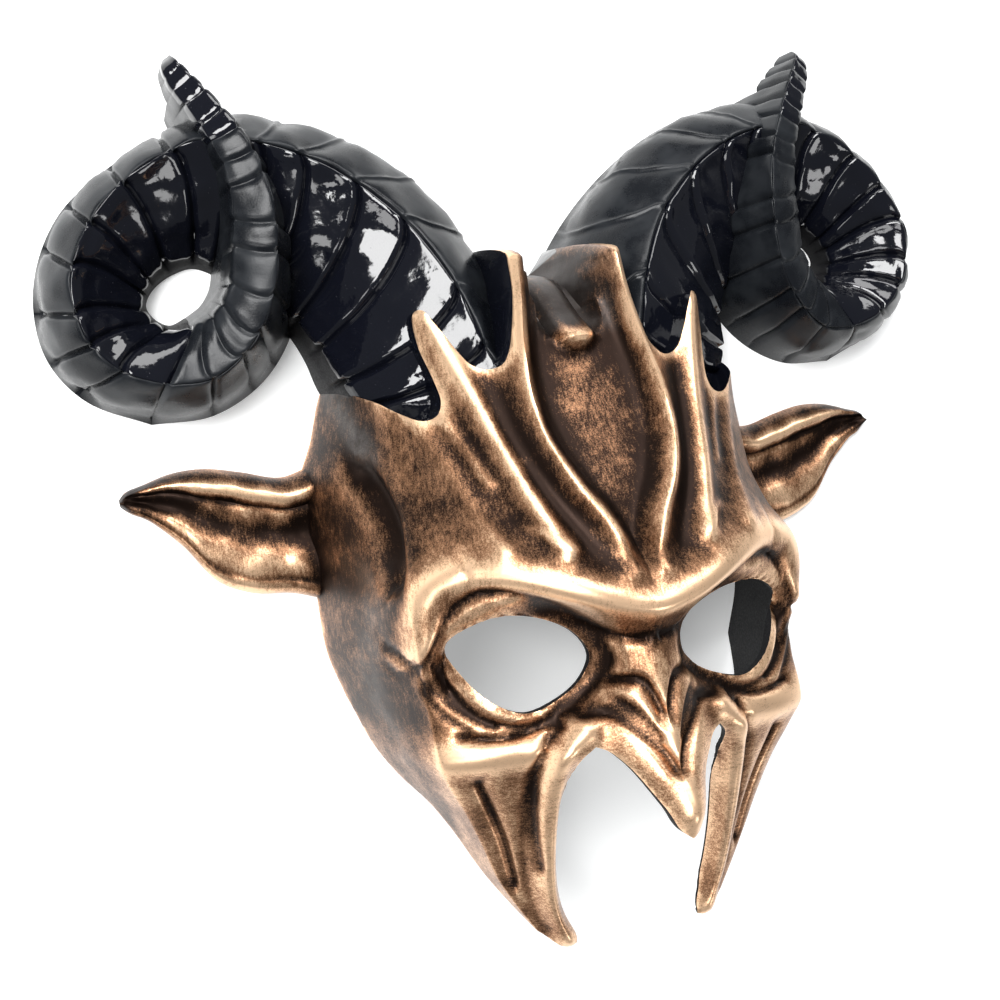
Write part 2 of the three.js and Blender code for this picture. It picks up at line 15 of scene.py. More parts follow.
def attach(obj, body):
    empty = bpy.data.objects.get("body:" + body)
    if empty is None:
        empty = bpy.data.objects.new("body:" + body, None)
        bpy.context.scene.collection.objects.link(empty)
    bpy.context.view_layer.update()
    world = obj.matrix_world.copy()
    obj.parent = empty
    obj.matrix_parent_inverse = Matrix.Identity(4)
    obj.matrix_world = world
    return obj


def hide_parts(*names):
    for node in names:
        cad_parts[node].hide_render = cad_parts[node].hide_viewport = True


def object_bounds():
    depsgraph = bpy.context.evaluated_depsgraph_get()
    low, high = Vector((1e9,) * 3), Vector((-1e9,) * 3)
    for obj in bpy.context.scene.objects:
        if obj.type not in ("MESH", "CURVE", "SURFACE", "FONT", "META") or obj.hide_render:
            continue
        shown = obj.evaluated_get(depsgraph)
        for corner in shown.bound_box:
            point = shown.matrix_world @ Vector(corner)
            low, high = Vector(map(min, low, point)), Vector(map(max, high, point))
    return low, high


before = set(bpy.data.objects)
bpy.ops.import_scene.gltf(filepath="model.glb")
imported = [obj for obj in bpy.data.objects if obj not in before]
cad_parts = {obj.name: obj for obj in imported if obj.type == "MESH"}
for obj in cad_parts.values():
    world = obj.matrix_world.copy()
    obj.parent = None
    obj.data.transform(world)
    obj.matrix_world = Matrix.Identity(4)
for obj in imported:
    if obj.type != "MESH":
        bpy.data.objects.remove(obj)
CAD_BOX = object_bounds()

MM = 0.001
MIDDLE_Y = 0.735  # middle of the whole length, moved to Y = 0 at the end
SHEET = 1.6  # wall thickness of the formed sheet
FACE_TOP = 79.0  # Y of the rim behind the petals
FACE_BOTTOM = -139.0  # Y just below the tips of the moustache tails
CAVITY_DEPTH = 4.0  # how far the inside runs past the rim plane, so that it cuts clean
TRIM_DEPTH = 20.0  # how far the trimming bodies reach below the rim plane
TRIM_HALF_WIDTH = 130.0  # and to each side
CUT_HEIGHT = 130.0  # height of the bodies that cut through the sheet, above the nose
RING_DEPTH = 1.5  # how far the inside of a horn keeps below its ring grooves
BOX_GAP = 0.01  # how far the skin keeps inside the box of the solid
SHARP_ANGLE = 48.0  # degrees: the skin has a sharp edge where it turns by more

# Face profiles by height. Each row: Y, then the values at that height.
MIDLINE = [  # Z of the bare forehead and face on the middle line
    [-139, 57], [-120, 63], [-100, 70], [-80, 77], [-60, 82], [-40, 86], [-20, 86],
    [0, 79.5], [20, 69], [45, 58], [79, 51],
]
FRONT_EDGE = [  # half width and Z where the front turns into the side wall
    [-139, 26, 52], [-125, 35, 51.5], [-114, 41, 52], [-102, 45.5, 55], [-91, 50, 58.5],
    [-80, 55.5, 63], [-73, 58, 66], [-58, 58.5, 62], [-40, 61, 61], [-24, 61.5, 62],
    [-12, 59, 56], [0, 57, 50], [20, 57, 45], [35, 58, 42], [79, 54, 33],
]
RIM = [  # half width of the rim where the side wall reaches Z = 0
    [-139, 33], [-120, 44], [-104, 50.5], [-95, 55.5], [-87, 62], [-77, 67.2], [-63, 71],
    [-46, 76], [-25, 77.2], [0, 79], [11, 78], [22, 73.5], [35, 69.5], [47, 64], [79, 60],
]
NOSE = [  # height and half width of the beak over the face
    [-104, 31, 10], [-96, 30.5, 10.5], [-89, 31.5, 12.5], [-81, 25, 16], [-72, 18.5, 20],
    [-60, 12, 14], [-50, 8, 10], [-40, 3, 9], [-30, 0, 9],
]
# The lines that the carving flows along, as half widths by height: petal edge and nose ridge, flame, spike
# and mouth corner, temple ridge and tail groove
FLOW = [
    [-139, 4, 11, 19.5, 23], [-120, 5, 13, 25, 32], [-100, 5, 13, 26, 34.6], [-85, 5, 12, 24.7, 34.3],
    [-71, 4.5, 11.5, 19, 30.5], [-60, 4, 10, 18.5, 33], [-48, 3.5, 8.5, 14.5, 33],
    [-34, 3, 7, 16.5, 34], [-24, 3, 6.2, 19, 36], [-16, 5.5, 9.2, 21, 37.5], [-10, 8, 12, 24, 40],
    [-2, 13, 15.7, 27, 42.5], [5, 16.2, 18.6, 29, 45], [14, 19, 21.5, 31.8, 48.5],
    [20, 19.7, 22.7, 33.5, 51.5], [28, 20, 23.5, 35.5, 54.5], [37, 19, 24.5, 38.3, 56],
    [43, 18.5, 25, 40, 56.5], [57, 16.5, 25.5, 43, 55], [79, 15.5, 26, 42, 51],
]
FRONT_CURVE = 2.5  # power by which the bare front falls from its middle line to its edge
CARVING_CURVE = 8  # power by which the carving fades out towards that edge
BROW = {"mid": -33.5, "rise": 14.5, "reach": 50.0}  # Y of the brow on the middle line, its rise outwards
BROW_ROLL = {"height": 10.5, "drop": 5.0, "thins": (12, 46), "ends": (46, 54), "above": 10.0, "below": 6.0}
BROW_ROWS = (-64, -37.5, -33.5, 18)  # Y where rows start to bow up with it, do so fully, and no longer

# The top of the face falls back to the rim: between the petals in a gully, which a round tongue runs down,
# and behind the petals more steeply. Each row: Y, Z.
GULLY = [[38, 72], [44, 56], [48, 49], [52, 43], [56, 38], [62, 30], [67, 18], [70.5, 0]]
PETAL_TOP = [[60, 74], [66, 60.5], [70, 54], [73, 43], [76, 26], [79, 0]]
GULLY_WALL = (7.5, 13.5)  # half widths of its foot and its top
TONGUE = {"end": 46.0, "radius": 5.5, "height": 6.5, "soft": 2.0}

# Carved ridges and grooves: a path of X, Y points on one half, its height, and its half widths to the left
# and to the right as it runs down the face
PETAL = [[15.5, 69], [16.5, 57], [18.5, 43], [20, 28], [19, 14], [14, 0.5], [8, -10], [3, -24]]
PETAL_RISE = (-26, -12)  # Y between which a petal rises out of the brow
WELT = {"height": 5.5, "width": 3.2, "least": 0.35}  # the roll along the edge of a petal
PANEL = {"depth": 2.6, "width": 6.0}  # how the skin sinks from a petal's edge to the middle panel
RIDGES = [
    ([[44, 54], [40, 43], [35.5, 28], [31.8, 14], [27, -2], [21, -16]], 4.0, 3.5, 3.5),
    ([[64, 36], [55, 28], [48.5, 14], [45, 5], [41, -7], [38, -14]], 2.6, 4.0, 3.5),
    ([[24.5, 37], [22.7, 20], [18.6, 5], [12, -10], [6.2, -24]], 1.6, 3.0, 3.0),
    ([[59, -72.5], [48, -72], [39, -71], [31, -71.5]], 2.2, 5.0, 3.5),
    ([[22, -66.5], [27.5, -73], [29.5, -84], [30, -98], [29.5, -112], [28, -124], [24.5, -134]],
     4.5, 4.2, 4.2),
    ([[29, -69], [33.5, -78], [34.8, -92], [34, -108], [32, -121], [29, -130]], -2.4, 2.2, 2.2),
    ([[47.5, -80], [43.5, -91], [40, -103], [37.5, -116]], -2.4, 2.2, 2.2),
    ([[50, -50], [45, -58.5], [36, -64.5], [27, -62.5]], -1.8, 3.0, 3.0),
    ([[11, -54], [6, -54.5], [3.2, -59], [1.6, -65]], -1.8, 2.2, 2.2),
    ([[17, -60.5], [10.5, -62.5], [5.5, -69], [1.8, -77.5]], -2.0, 2.4, 2.4),
]
BROW_END = ([[50, -19.5], [57, -23], [60.5, -31], [60, -41]], 5.5, 6.0, 6.5)

# Cut outlines on one half
EYE = [
    [52.3, -40.3], [44, -34.5], [35.5, -33.5], [25, -36.3], [17, -41.5], [14.1, -48], [18, -54.8],
    [26.5, -59.5], [34.5, -61.1], [42.5, -57.3], [48.5, -50.5],
]
SOCKET = {"x": 33.5, "y": -47.3, "half_width": 20.0, "half_height": 14.5, "fades": (0.92, 1.32)}
EYE_SOCKET = [[10, 78], [14, 75.5], [30, 75], [36, 74], [43, 71.5], [48, 67.5], [53, 61]]  # X, Z
NOSE_EDGE = [[0, -96], [3, -93.4], [6, -87.2], [10, -79.6], [13, -75.4], [16, -72.4], [19, -71]]
TAIL_EDGE = [
    [19, -71], [22, -74.5], [23.6, -81], [24.4, -90], [24.9, -100], [24.9, -110], [24, -120], [22.2, -128],
    [20, -134], [20.6, -137.4], [24, -138.6],
]
# How the inner edge of a tail rolls down. It starts and thins between these Y, and stops beyond the edge.
TAIL_ROLL = {
    "depth": 7.0, "width": 3.8, "curve": 2.2, "starts": (-70, -92), "thins": (-124, -137), "thinning": 0.75,
    "stops": (-8, -4),
}
CHIN_TRIM = {"y": -62.0, "slope": 0.743, "run": 90.0}  # the rim rises from here to the tips of the tails
# Past this Y the underside of the horn tip climbs to a level, and from there gently over a run
TIP_TRIM = {"y": 127.0, "rise": 0.6, "level": 15.0, "run": 30.0, "climb": 3.0}
MOUTH_END = [[60, -139.5], [60, -150]]  # where the outline of the mouth runs out past the tails
FOLD_SLACK = 0.05  # how far a moved outline may come nearer than it should
OUTLINE_REACH = 100.0  # X of the outer corners of the skin's outline, past its widest place
# The upper edge of the face skin where it lies over the roots of the horns
SCALLOPS = [
    [0, 70.5], [7, 70.8], [10.5, 74.5], [15, 79.4], [17.4, 76], [18, 68], [18.4, 58], [20.4, 47],
    [22.3, 40.5], [25, 36.8], [29, 36], [33.2, 38], [37, 43.6], [41, 51], [44.2, 55.8], [46.2, 55],
    [46.2, 46], [43.8, 35], [42.9, 28], [44.6, 24.2], [48.5, 23.2], [54, 26.2], [60.5, 31.8],
    [68, 37.6], [78, 40],
]

# Horns, by stations from the root round the coil. Each row: rim X, Y; crest X, Y, Z; inner edge of the
# front X, Y, Z; foot of the inner wall X, Y; bulge of the side band between the rim and the crest.
HORN_ARC = [
    [-2, 36, 18, 28, 50, 52, 16, 34, 55, 16, 1],
    [3, 56, 25, 44, 49.5, 60, 27.5, 33, 63, 26.5, 3],
    [12.5, 75, 31, 63, 46.5, 66.5, 39.5, 27, 69, 38.5, 6],
    [26, 92.5, 40.5, 81, 41, 70, 49.5, 20, 72, 48, 8],
    [44, 108.5, 53, 94.5, 38, 75, 59, 15, 76.5, 57, 8],
    [64.5, 120.5, 67, 104.5, 35, 82.5, 68, 12, 84, 66, 6],
    [86, 126, 83, 110.5, 33.5, 92.5, 77, 10, 94, 75, 5],
    [107, 122, 100.5, 112, 32, 102.5, 81.5, 9.5, 103, 80, 4],
    [126, 112.5, 119, 104, 30.5, 111, 80, 9.5, 110.5, 78.5, 3],
    [142.5, 98, 132.5, 91, 29.5, 117.5, 75.5, 10, 116.5, 74.5, 3],
    [151.5, 78, 140, 75, 29.5, 120.5, 69.5, 10.5, 119.3, 69.6, 3],
    [151, 57, 138.5, 59, 29.5, 118.5, 64, 12, 117.3, 65.3, 3],
    [140.5, 41.5, 130, 47.5, 28.5, 113.5, 60.5, 16.5, 113, 63, 3],
    [122, 32.5, 117, 41.5, 28.5, 107.5, 59.5, 23, 108, 65, 2],
]
HORN_TIP = [
    [122, 32.5, 117, 41.5, 28.5, 107.5, 59.5, 23, 108, 65, 2],
    [103, 33.5, 103.5, 42.5, 30, 102.5, 61, 28.5, 103.5, 68, 2],
    [86.5, 42.5, 92, 51, 34, 98.5, 65.5, 32, 101, 71, 1],
    [75.5, 57, 85, 62.5, 37.5, 96, 71, 33.5, 99.3, 74.5, 0.5],
    [70.5, 75, 81.8, 77, 40, 94.8, 80, 35, 98.3, 80, 0.5],
    [71, 92, 81.8, 91.5, 41, 93.8, 90, 36, 97.5, 90, 0.5],
    [76, 107, 84.2, 103.5, 40, 94.8, 100.5, 37, 98.5, 100, 0.5],
    [81.5, 118.5, 88.6, 113.5, 38.4, 97.8, 110, 36, 101.5, 109, 0.5],
    [88.5, 124.5, 93.5, 122, 35.4, 102.2, 119, 33.5, 105.5, 121, 0.5],
    [95.5, 132.5, 99, 130, 32, 106.4, 127, 30, 108, 130, 0.5],
    [101.5, 138.5, 103.2, 136, 28.5, 108.2, 133.8, 27, 109, 136, 0],
    [104, 140.5, 104.8, 139, 24, 107.4, 137.6, 23, 108, 138.5, 0],
]
TIP_HOLLOW = 0.82  # share of the last stretch that is hollow
# Points between those of a station: share of the way, rise, share of the bulge or of the front's belly
SIDE_POINTS = ((0.5, 2.2, 1.0), (0.92, 0.8, 0.3))
FRONT_POINTS = ((0.12, 0.6, 0), (0.42, 0, 1), (0.74, 0, 1))
FRONT_BELLY = 0.07  # rise of the front's belly, as a share of the width of the front

# Where the lines between the rings of a horn run, as stations on its rim, its crest and its inner edge
ARC_LINES = [
    [0, 0, 0], [0.6, 1.1, 1.2], [1.35, 2.05, 1.9], [2.6, 3.3, 3.1], [3.57, 4.3, 4.1], [4.65, 5.35, 5.2],
    [5.6, 6.05, 6], [6.3, 6.75, 6.5], [7.1, 7.45, 7.1], [7.95, 8.3, 8.1], [8.75, 9.1, 9], [9.45, 9.85, 9.5],
    [10.4, 10.7, 10.4], [11.2, 11.35, 11.1], [11.8, 12.15, 11.7], [13, 13, 13],
]
TIP_LINES = [
    [0, 0, 0], [1, 1, 0.5], [1.8, 1.8, 1], [2.4, 2.4, 1.7], [3.25, 3.25, 2.8], [4.05, 4.05, 4],
    [4.6, 4.6, 4.75], [5.8, 5.8, 5.6], [6.35, 6.35, 6.3], [7.1, 7.1, 7], [7.85, 7.85, 7.5],
    [8.6, 8.6, 8.3], [9.2, 9.2, 8.9], [9.85, 9.85, 9.45], [11, 11, 11],
]
# Stations of the crest over which the horn turns into its coil: the lines on its side stop dipping, those
# on its front bow less by a share, and its side gets puffed rings
DIP_FADE = (5.5, 7.5)
BOW_FADE = (5, 8)
BOW_LOSS = 0.6
COIL_START = (6, 7.5)

# Ears, by stations from the root to the tip. Each row: lower edge X, Y; upper edge X, Y; height.
EAR = [
    [70, -31, 70, 17, 10], [79, -27.5, 79, 13, 10], [86, -25.4, 86, 12, 9.5], [97, -24, 97, 15, 9],
    [108, -18.5, 108, 17.2, 8.5], [117, -6.5, 118, 16.8, 7.5], [126, 2.5, 127, 14.2, 6],
    [131.5, 5.6, 132.2, 12.6, 5.2], [134.3, 8, 134.6, 10.2, 3.4],
]
# Across an ear, from its lower edge to its upper one: share of the width, share of the height
EAR_SECTION = [
    (0, 0), (0.02, 0.32), (0.06, 0.52), (0.1, 0.58), (0.13, 0.55), (0.18, 0.64), (0.26, 0.68),
    (0.35, 0.6), (0.44, 0.42), (0.52, 0.34), (0.6, 0.44), (0.69, 0.58), (0.73, 0.54), (0.76, 0.76),
    (0.81, 0.98), (0.86, 0.96), (0.91, 0.74), (0.96, 0.48), (1, 0),
]
EAR_INSIDE = [
    (0, 0), (0.05, 0.42), (0.16, 0.5), (0.38, 0.38), (0.6, 0.42), (0.8, 0.64), (0.92, 0.7), (1, 0),
]
EAR_HOLLOW = 0.88  # share of the ear that is hollow
EAR_TIP = (0.8, 0.97)  # places along the ear between which its section turns into a plain dome
EAR_MARGIN = 0.15  # share of its width at each side that stays free of dents

# Fine lines that the solid leaves out, as a path, its height, and its half widths to the left and right as
# it runs down the face. Their first number is the way round the face from its middle line: across the
# front, then down the side wall. The second is Y.
WRINKLES = [
    ([[80, -41], [74, -42.7], [67, -45.5], [61, -46.3], [57.8, -43.6], [55.5, -39.8], [52, -32],
      [48.4, -28.3], [44, -26.3], [35, -28.2], [23.6, -33.5], [14, -40], [9, -42.6], [2.5, -43]],
     -1.5, 1.1, 1.5),
    ([[80, -46], [73.7, -48.6], [67.2, -48.4], [61.7, -48]], -0.6, 1.2, 1.2),
    ([[52, -49], [45, -58.5], [36, -64.5], [28, -63]], 1.1, 2.6, 2.6),
    ([[57, -45], [52, -53.5], [46.5, -60.9], [39, -64.1], [29.5, -63.4], [20.6, -59.6], [14, -54.2],
      [11, -48.3], [13, -41.7]], -0.9, 0.85, 0.85),
    ([[52, -66], [46.5, -66.8], [36, -66.3], [26.5, -64]], -1.6, 1.1, 1.1),
    ([[60.2, -50], [54.5, -55.8], [48.2, -60.9], [43, -64]], -0.9, 1.05, 1.05),
    ([[60.5, -52.8], [55.3, -59.2], [50, -64.6]], -0.8, 1.05, 1.05),
    ([[11.5, -53.7], [5.4, -54.2], [3.2, -57.1], [1.2, -63]], -1.1, 1.0, 1.0),
    ([[12.5, -58.2], [7.3, -62.7], [3.3, -69.7]], -0.9, 0.9, 0.9),
    ([[21, -62.3], [13.9, -62.7], [9, -66.9], [3.1, -73.2], [0.8, -78.5]], -1.1, 1.1, 1.1),
    ([[26.5, -65], [31, -69.8], [32.9, -76], [33.6, -87], [33.2, -97], [31.5, -110]], -1.2, 0.9, 0.9),
    ([[47.5, -81], [41, -97.7], [38, -109.5], [36.6, -116]], -1.0, 0.9, 0.9),
    ([[43, 22], [39, 13], [35.5, 3]], 0.9, 1.6, 1.6),
    ([[29, -10], [26, -11.5], [24, -14.5]], 0.8, 1.3, 1.3),
]
TEMPLE_HOLLOW = ([[71.5, 10.5], [68, 6], [65, -0.3], [63.5, -8], [65, -15], [69, -20]], -4.5, 6.5, 3.4)
DEEPEST_WRINKLE = 2.0  # where several lines cross, apart from the hollow of the temple
UNDER_WIDTH = 3.0  # least half width of a line on the inside
RIM_FADE = (0, 6)  # Z over which the lines come in above the rim
EYE_LIP = {"out": 1.3, "width": 1.0, "height": 0.8}  # the rounded lip around an eye opening

# How the copper was rubbed on and grey sprayed over it, as paths like those above, an amount, a half width.
# The rubbed strokes also paint light: painted highlights along the brow, the cheek ridges and the nose
# ridge, and painted shade in the hollows of the temples.
COPPER_STROKES_AND_PAINTED_LIGHT = [
    # Copper rubbed on the brow and down its hook, and a painted highlight along it
    ([[67, -42], [66, -34], [61, -26.5], [56, -22], [48, -19.5], [40, -20.8], [32, -24], [25, -27],
      [16, -31], [6, -32.5], [0, -33]], 0.5, 5.0),
    # A painted highlight along the ridge of the cheek
    ([[57, -71.5], [46, -72.5], [36, -72.5], [31, -74]], 0.5, 4.5),
    # A painted highlight down the ridge of the nose
    ([[0, -48], [0, -96]], 0.35, 2.2),
    # Painted shade in the hollow of the temple
    ([[74, 15], [68, 7], [64, -0.3], [62.5, -8], [64, -16], [68, -22]], -0.7, 5.5),
]
SPRAYED = [
    ([[92, 38], [82, 30], [75, 23], [69, 16]], 0.85, 5.0),
    ([[85, -25], [85, -34], [92, -46], [90, -65], [84, -73]], 0.5, 8.0),
]
# How much copper there is anywhere, for each mm of fine and of broad relief, and in some areas
COPPER = {"anywhere": 0.43, "fine": 0.95, "broad": 0.16, "most": 1.2}
FINE_RELIEF = (6, -0.7, 0.5)  # rounds of smoothing, least, most
BROAD_RELIEF = (60, -0.8, 2)
AREA_COPPER = {"chin": 0.22, "side": -0.25, "ear": 0.07, "ear_back": -0.7, "panel": -0.08, "gully": -0.75}
# How each of these areas is bounded: from where it starts to where it is full, by the way round or by axis
AREAS = {
    "ear": [("x", 77, 88)],
    "ear_back": [("x", 77, 88), ("y", 3, 9), ("z", 8, 5)],
    "side": [("around", 58, 70), ("x", 88, 77)],
    "chin": [("y", -60, -72)],
    "panel": [("x", 16, 12), ("y", -14, 6)],
    "gully": [("x", 16.5, 14), ("y", 43, 50)],
}
GULLY_SPRAY = 0.22
STROKES_TURN = (-52, -75)  # Y between which the brush strokes turn from down the face to across it

# Material slots of the sheet
PAINT, GLOSS, INSIDE, SATIN = range(4)

# Mesh density of the face, then of the horns and ears. The rows of the face: Y, step to the next row.
ROW_STEPS = [(-139, 1.5), (-95, 1.4), (-88, 0.95), (-24, 0.95), (-16, 1.4), (79, 1.4)]
FACE_STEPS = (10, 6, 8, 14, 28)  # columns between the middle line, the flow lines and the front's edge
INSIDE_STEPS = (6, 4, 4, 7, 12)
WALL_STEPS = 34  # down the side wall, closer together near the front
WALL_CROWDING = 1.8  # power by which they crowd there
WALL_BULGE = 0.35  # how far the side wall bows out, as a share of its width
EDGE_ROUNDING = {"columns": 5, "rounds": 14, "least": 0.25, "temple": (-34, -14)}
LINE_STEPS = {"petal": 40, "tail": 40, "eye": 60}
OUTLINE_STEPS = {"scallops": 260, "nose": 48, "tail": 60, "eye": 90}
ARC_MESH = {
    "rows": (0, 0.018, 0.04, 0.07, 0.11, 0.17, 0.27, 0.4, 0.54, 0.67, 0.77, 0.85, 0.9, 0.94, 0.965, 0.984),
    "columns": (14, 19, 8),
}
TIP_MESH = {
    "rows": (0, 0.03, 0.07, 0.13, 0.22, 0.36, 0.52, 0.68, 0.8, 0.88, 0.935, 0.972),
    "columns": (8, 11, 7),
}
HOLLOW_COLUMNS = (14, 5)
ARC_HOLLOW_ROWS = 90
TIP_HOLLOW_ROWS = 40
EAR_MESH = (56, 34)
EAR_HOLLOW_MESH = (20, 15)
# Places across a horn: 0 on its rim, then its crest, the inner edge of its front, and a whole step on the
# foot of the wall there
CREST, EDGE = 3, 7
WALL_FADE = (EDGE + 0.1, EDGE + 0.7)  # where the skin of the front turns into the inner wall
CREST_PLACES = (-0.6, -0.42, -0.3, -0.2, -0.13, -0.06, 0, 0.06, 0.13, 0.2, 0.3, 0.42, 0.6)
EDGE_PLACES = (-0.24, -0.17, -0.11, -0.05, 0, 0.035, 0.07, 0.11, 0.16)
CREST_MARGIN = 0.8  # the other columns keep away from those places
EDGE_MARGIN = (0.32, 0.22)
EDGE_SOFTENING = {"weight": 0.5, "width": 0.15, "rounds": 8}
SIDE_SHARES = ((0, 1, 2, CREST), (1, 0.5, 0.08, 0))  # places on the side band, and how near the rim

# Relief of the horns, plainer where the front is narrow and where a ring is short
NARROW_FRONT = (1, 14)
SHORT_RING = (1, 8)
# On the front, a groove between two rings and a rib beside it
GROOVE_WIDTH = 0.75
RIB = {"after": 1.9, "width": 0.8}
# On the side band, raised lines with shorter ones between them, then puffed rings with a lip round the coil
RAISED = {"height": 0.85, "width": 0.85, "round": 0.8}
SECOND = {"height": 0.3, "width": 0.9, "ends": (1, 2.2)}
PUFFED = {"groove": 0.8, "groove_width": 0.8, "lip": 0.25, "lip_at": 1.6, "lip_width": 0.7, "round": 1.4}
CREST_TURN = 0.2  # over which the side band's relief turns into the front's
CREST_CREASE = ((0.9, 0.16), (0.35, 0.5))  # depth, half width
HORN_DENTS = ((0.42, 13), (0.16, 5.5))  # height, wavelength
HORN_LEVEL = -0.55  # how far the dented skin lies under the smooth one
HORN_MARGIN = {"skin": 0.15, "hollow": 0.3}  # how far from the rim the relief has its full height
EAR_DENTS = ((0.25, 11), (0.1, 4))
EAR_SEED = 31
RIPPLE = {"waves": 6, "spread": (0.75, 1.4)}
# Each stretch of a horn: "round" is how far a ring rounds off towards its lines, "bow" and "dip" how far
# the lines bend on the front and on the side band, "satin_rings" how many of the first rings aren't glossy
ARC_STYLE = {
    "strength": 1.0, "groove": 1.15, "rib": 0.4, "round": 0.9, "bow": 0.3, "dip": 0.45, "wall": INSIDE,
    "satin_rings": 0, "seed": 11,
}
TIP_STYLE = {
    "strength": 0.8, "groove": 0.5, "rib": 0.35, "round": 0.35, "bow": 0.12, "dip": 0, "wall": SATIN,
    "satin_rings": 9, "seed": 21,
}

# Colours of the paint and the plastic. The bright copper also colours the painted highlights along the
# brow, the cheek ridges and the nose ridge, and the undercoat the painted shade in the hollows of the
# temples.
UNDERCOAT = (0.016, 0.0085, 0.0058, 1)
DULL_COPPER = (0.36, 0.18, 0.092, 1)
BRIGHT_COPPER = (0.93, 0.62, 0.385, 1)
GREY_SPRAY = (0.13, 0.12, 0.113, 1)
GLOSS_BLACK = (0.0035, 0.004, 0.007, 1)
WORN_BLACK = (0.03, 0.03, 0.036, 1)
SATIN_BLACKS = ((0.006, 0.007, 0.009, 1), (0.016, 0.018, 0.021, 1))
INSIDE_BLACKS = ((0.006, 0.006, 0.007, 1), (0.014, 0.014, 0.015, 1))
FLOOR_WHITES = ((0.86, 0.865, 0.86, 1), (0.88, 0.885, 0.88, 1))
SKY = (0.93, 0.96, 1.0, 1)

# The studio, in metres and watts
FLOOR_REACH = 2.5
SKY_STRENGTH = 0.2
LIGHTS_AIM = (0, 0, 0.03)
SOFTBOXES = [  # name, place, size, power
    ("key", (-0.55, 0.35, 1.05), (0.66, 0.46), 19),
    ("top", (0.15, 0.95, 0.75), (1.1, 0.35), 10),
    ("side", (-0.75, -0.25, 0.8), (0.25, 0.35), 2),
    ("low", (0.43, -0.75, 0.7), (0.3, 0.3), 2),
]
CAMERA_PLACE = (-0.13361, 0.008965, 0.39032)
CAMERA_RIGHT = (0.947, -0.1116, 0.3011)
CAMERA_UP = (0.117, 0.9931, 0.0)
CAMERA_AHEAD = (0.299, -0.0352, -0.9535)
LENS = 43.2
SENSOR = 36


# Curves
def smoothstep(low, high, value):
    t = np.clip((value - low) / (high - low), 0, 1)
    return t * t * (3 - 2 * t)


def bell(gap, width):
    """1 where the gap is 0, falling off smoothly on both sides over the given half width."""
    return np.exp(-((gap / width) ** 2))


def along(rows, t):
    """Values at t from rows that start with their own t, on a smooth curve through them."""
    rows = np.asarray(rows, float)
    t = np.clip(np.asarray(t, float), rows[0, 0], rows[-1, 0])
    i = np.clip(np.searchsorted(rows[:, 0], t) - 1, 0, len(rows) - 2)
    before, a = rows[np.maximum(i - 1, 0)], rows[i]
    b, after = rows[i + 1], rows[np.minimum(i + 2, len(rows) - 1)]
    span = (b - a)[..., :1]
    u = (t - a[..., 0])[..., None] / span
    slope_in = (b - before)[..., 1:] / (b - before)[..., :1]
    slope_out = (after - a)[..., 1:] / (after - a)[..., :1]
    start = a[..., 1:] * (2 * u**3 - 3 * u**2 + 1) + slope_in * span * (u**3 - 2 * u**2 + u)
    end = b[..., 1:] * (3 * u**2 - 2 * u**3) + slope_out * span * (u**3 - u**2)
    return start + end


def curve_at(points, places):
    """Points at places in steps of one point, on curves that neither bulge nor loop at close points."""
    ends = [2 * points[..., :1, :] - points[..., 1:2, :], 2 * points[..., -1:, :] - points[..., -2:-1, :]]
    padded = np.concatenate([ends[0], points, ends[1]], axis=-2)
    return spline(padded, places, points.shape[-2] - 1)


def spline(padded, places, count):
    i = np.minimum(places.astype(int), count - 1)
    w = (places - i)[:, None]
    p0, p1, p2, p3 = (padded[..., i + k, :] for k in range(4))
    d0, d1, d2 = (np.maximum(np.linalg.norm(b - a, axis=-1, keepdims=True), 1e-6) ** 0.5
                  for a, b in ((p0, p1), (p1, p2), (p2, p3)))
    t1 = ((p1 - p0) / d0 - (p2 - p0) / (d0 + d1) + (p2 - p1) / d1) * d1
    t2 = ((p2 - p1) / d1 - (p3 - p1) / (d1 + d2) + (p3 - p2) / d2) * d1
    return p1 + t1 * w + (3 * (p2 - p1) - 2 * t1 - t2) * w**2 + (2 * (p1 - p2) + t1 + t2) * w**3


def curve_points(points, steps):
    points = np.asarray(points, float)
    return curve_at(points, np.arange(steps + 1) / steps * (len(points) - 1))


def closed_curve(points, steps):
    points = np.asarray(points, float)
    padded = np.vstack([points[-1:], points, points[:2]])
    return spline(padded, np.arange(steps) / steps * len(points), len(points))


def path_distance(path, x, y):
    """Distance from points to a path, positive to the left of its direction."""
    best = np.full(np.shape(x), np.inf)
    side = np.ones(np.shape(x))
    for (ax, ay), (bx, by) in zip(path[:-1], path[1:]):
        dx, dy = bx - ax, by - ay
        t = np.clip(((x - ax) * dx + (y - ay) * dy) / (dx * dx + dy * dy), 0, 1)
        gap = np.hypot(x - ax - t * dx, y - ay - t * dy)
        nearer = gap < best
        best = np.where(nearer, gap, best)
        side = np.where(nearer, np.where(dx * (y - ay) - dy * (x - ax) >= 0, 1, -1), side)
    return best * side


def ridge(points, height, left, right):
    path = curve_points(points, len(points) * 5)

    def relief(x, y):
        gap = path_distance(path, x, y)
        return height * bell(gap, np.where(gap > 0, left, right))

    return relief


# Carving of the face, as heights over the bare front
CARVINGS = [ridge(*row) for row in RIDGES]
WRINKLE_RELIEF = [ridge(*row) for row in WRINKLES]
UNDER_WRINKLES = [
    ridge(path, height, max(UNDER_WIDTH, left), max(UNDER_WIDTH, right))
    for path, height, left, right in WRINKLES
    if height < 0
]
TEMPLE = ridge(*TEMPLE_HOLLOW)
BROW_HOOK = ridge(*BROW_END)
PETAL_LINE = curve_points(PETAL, LINE_STEPS["petal"])
EYE_LINE = closed_curve(EYE, LINE_STEPS["eye"])[np.r_[0 : LINE_STEPS["eye"], 0]]
TAIL_LINE = curve_points(TAIL_EDGE, LINE_STEPS["tail"])


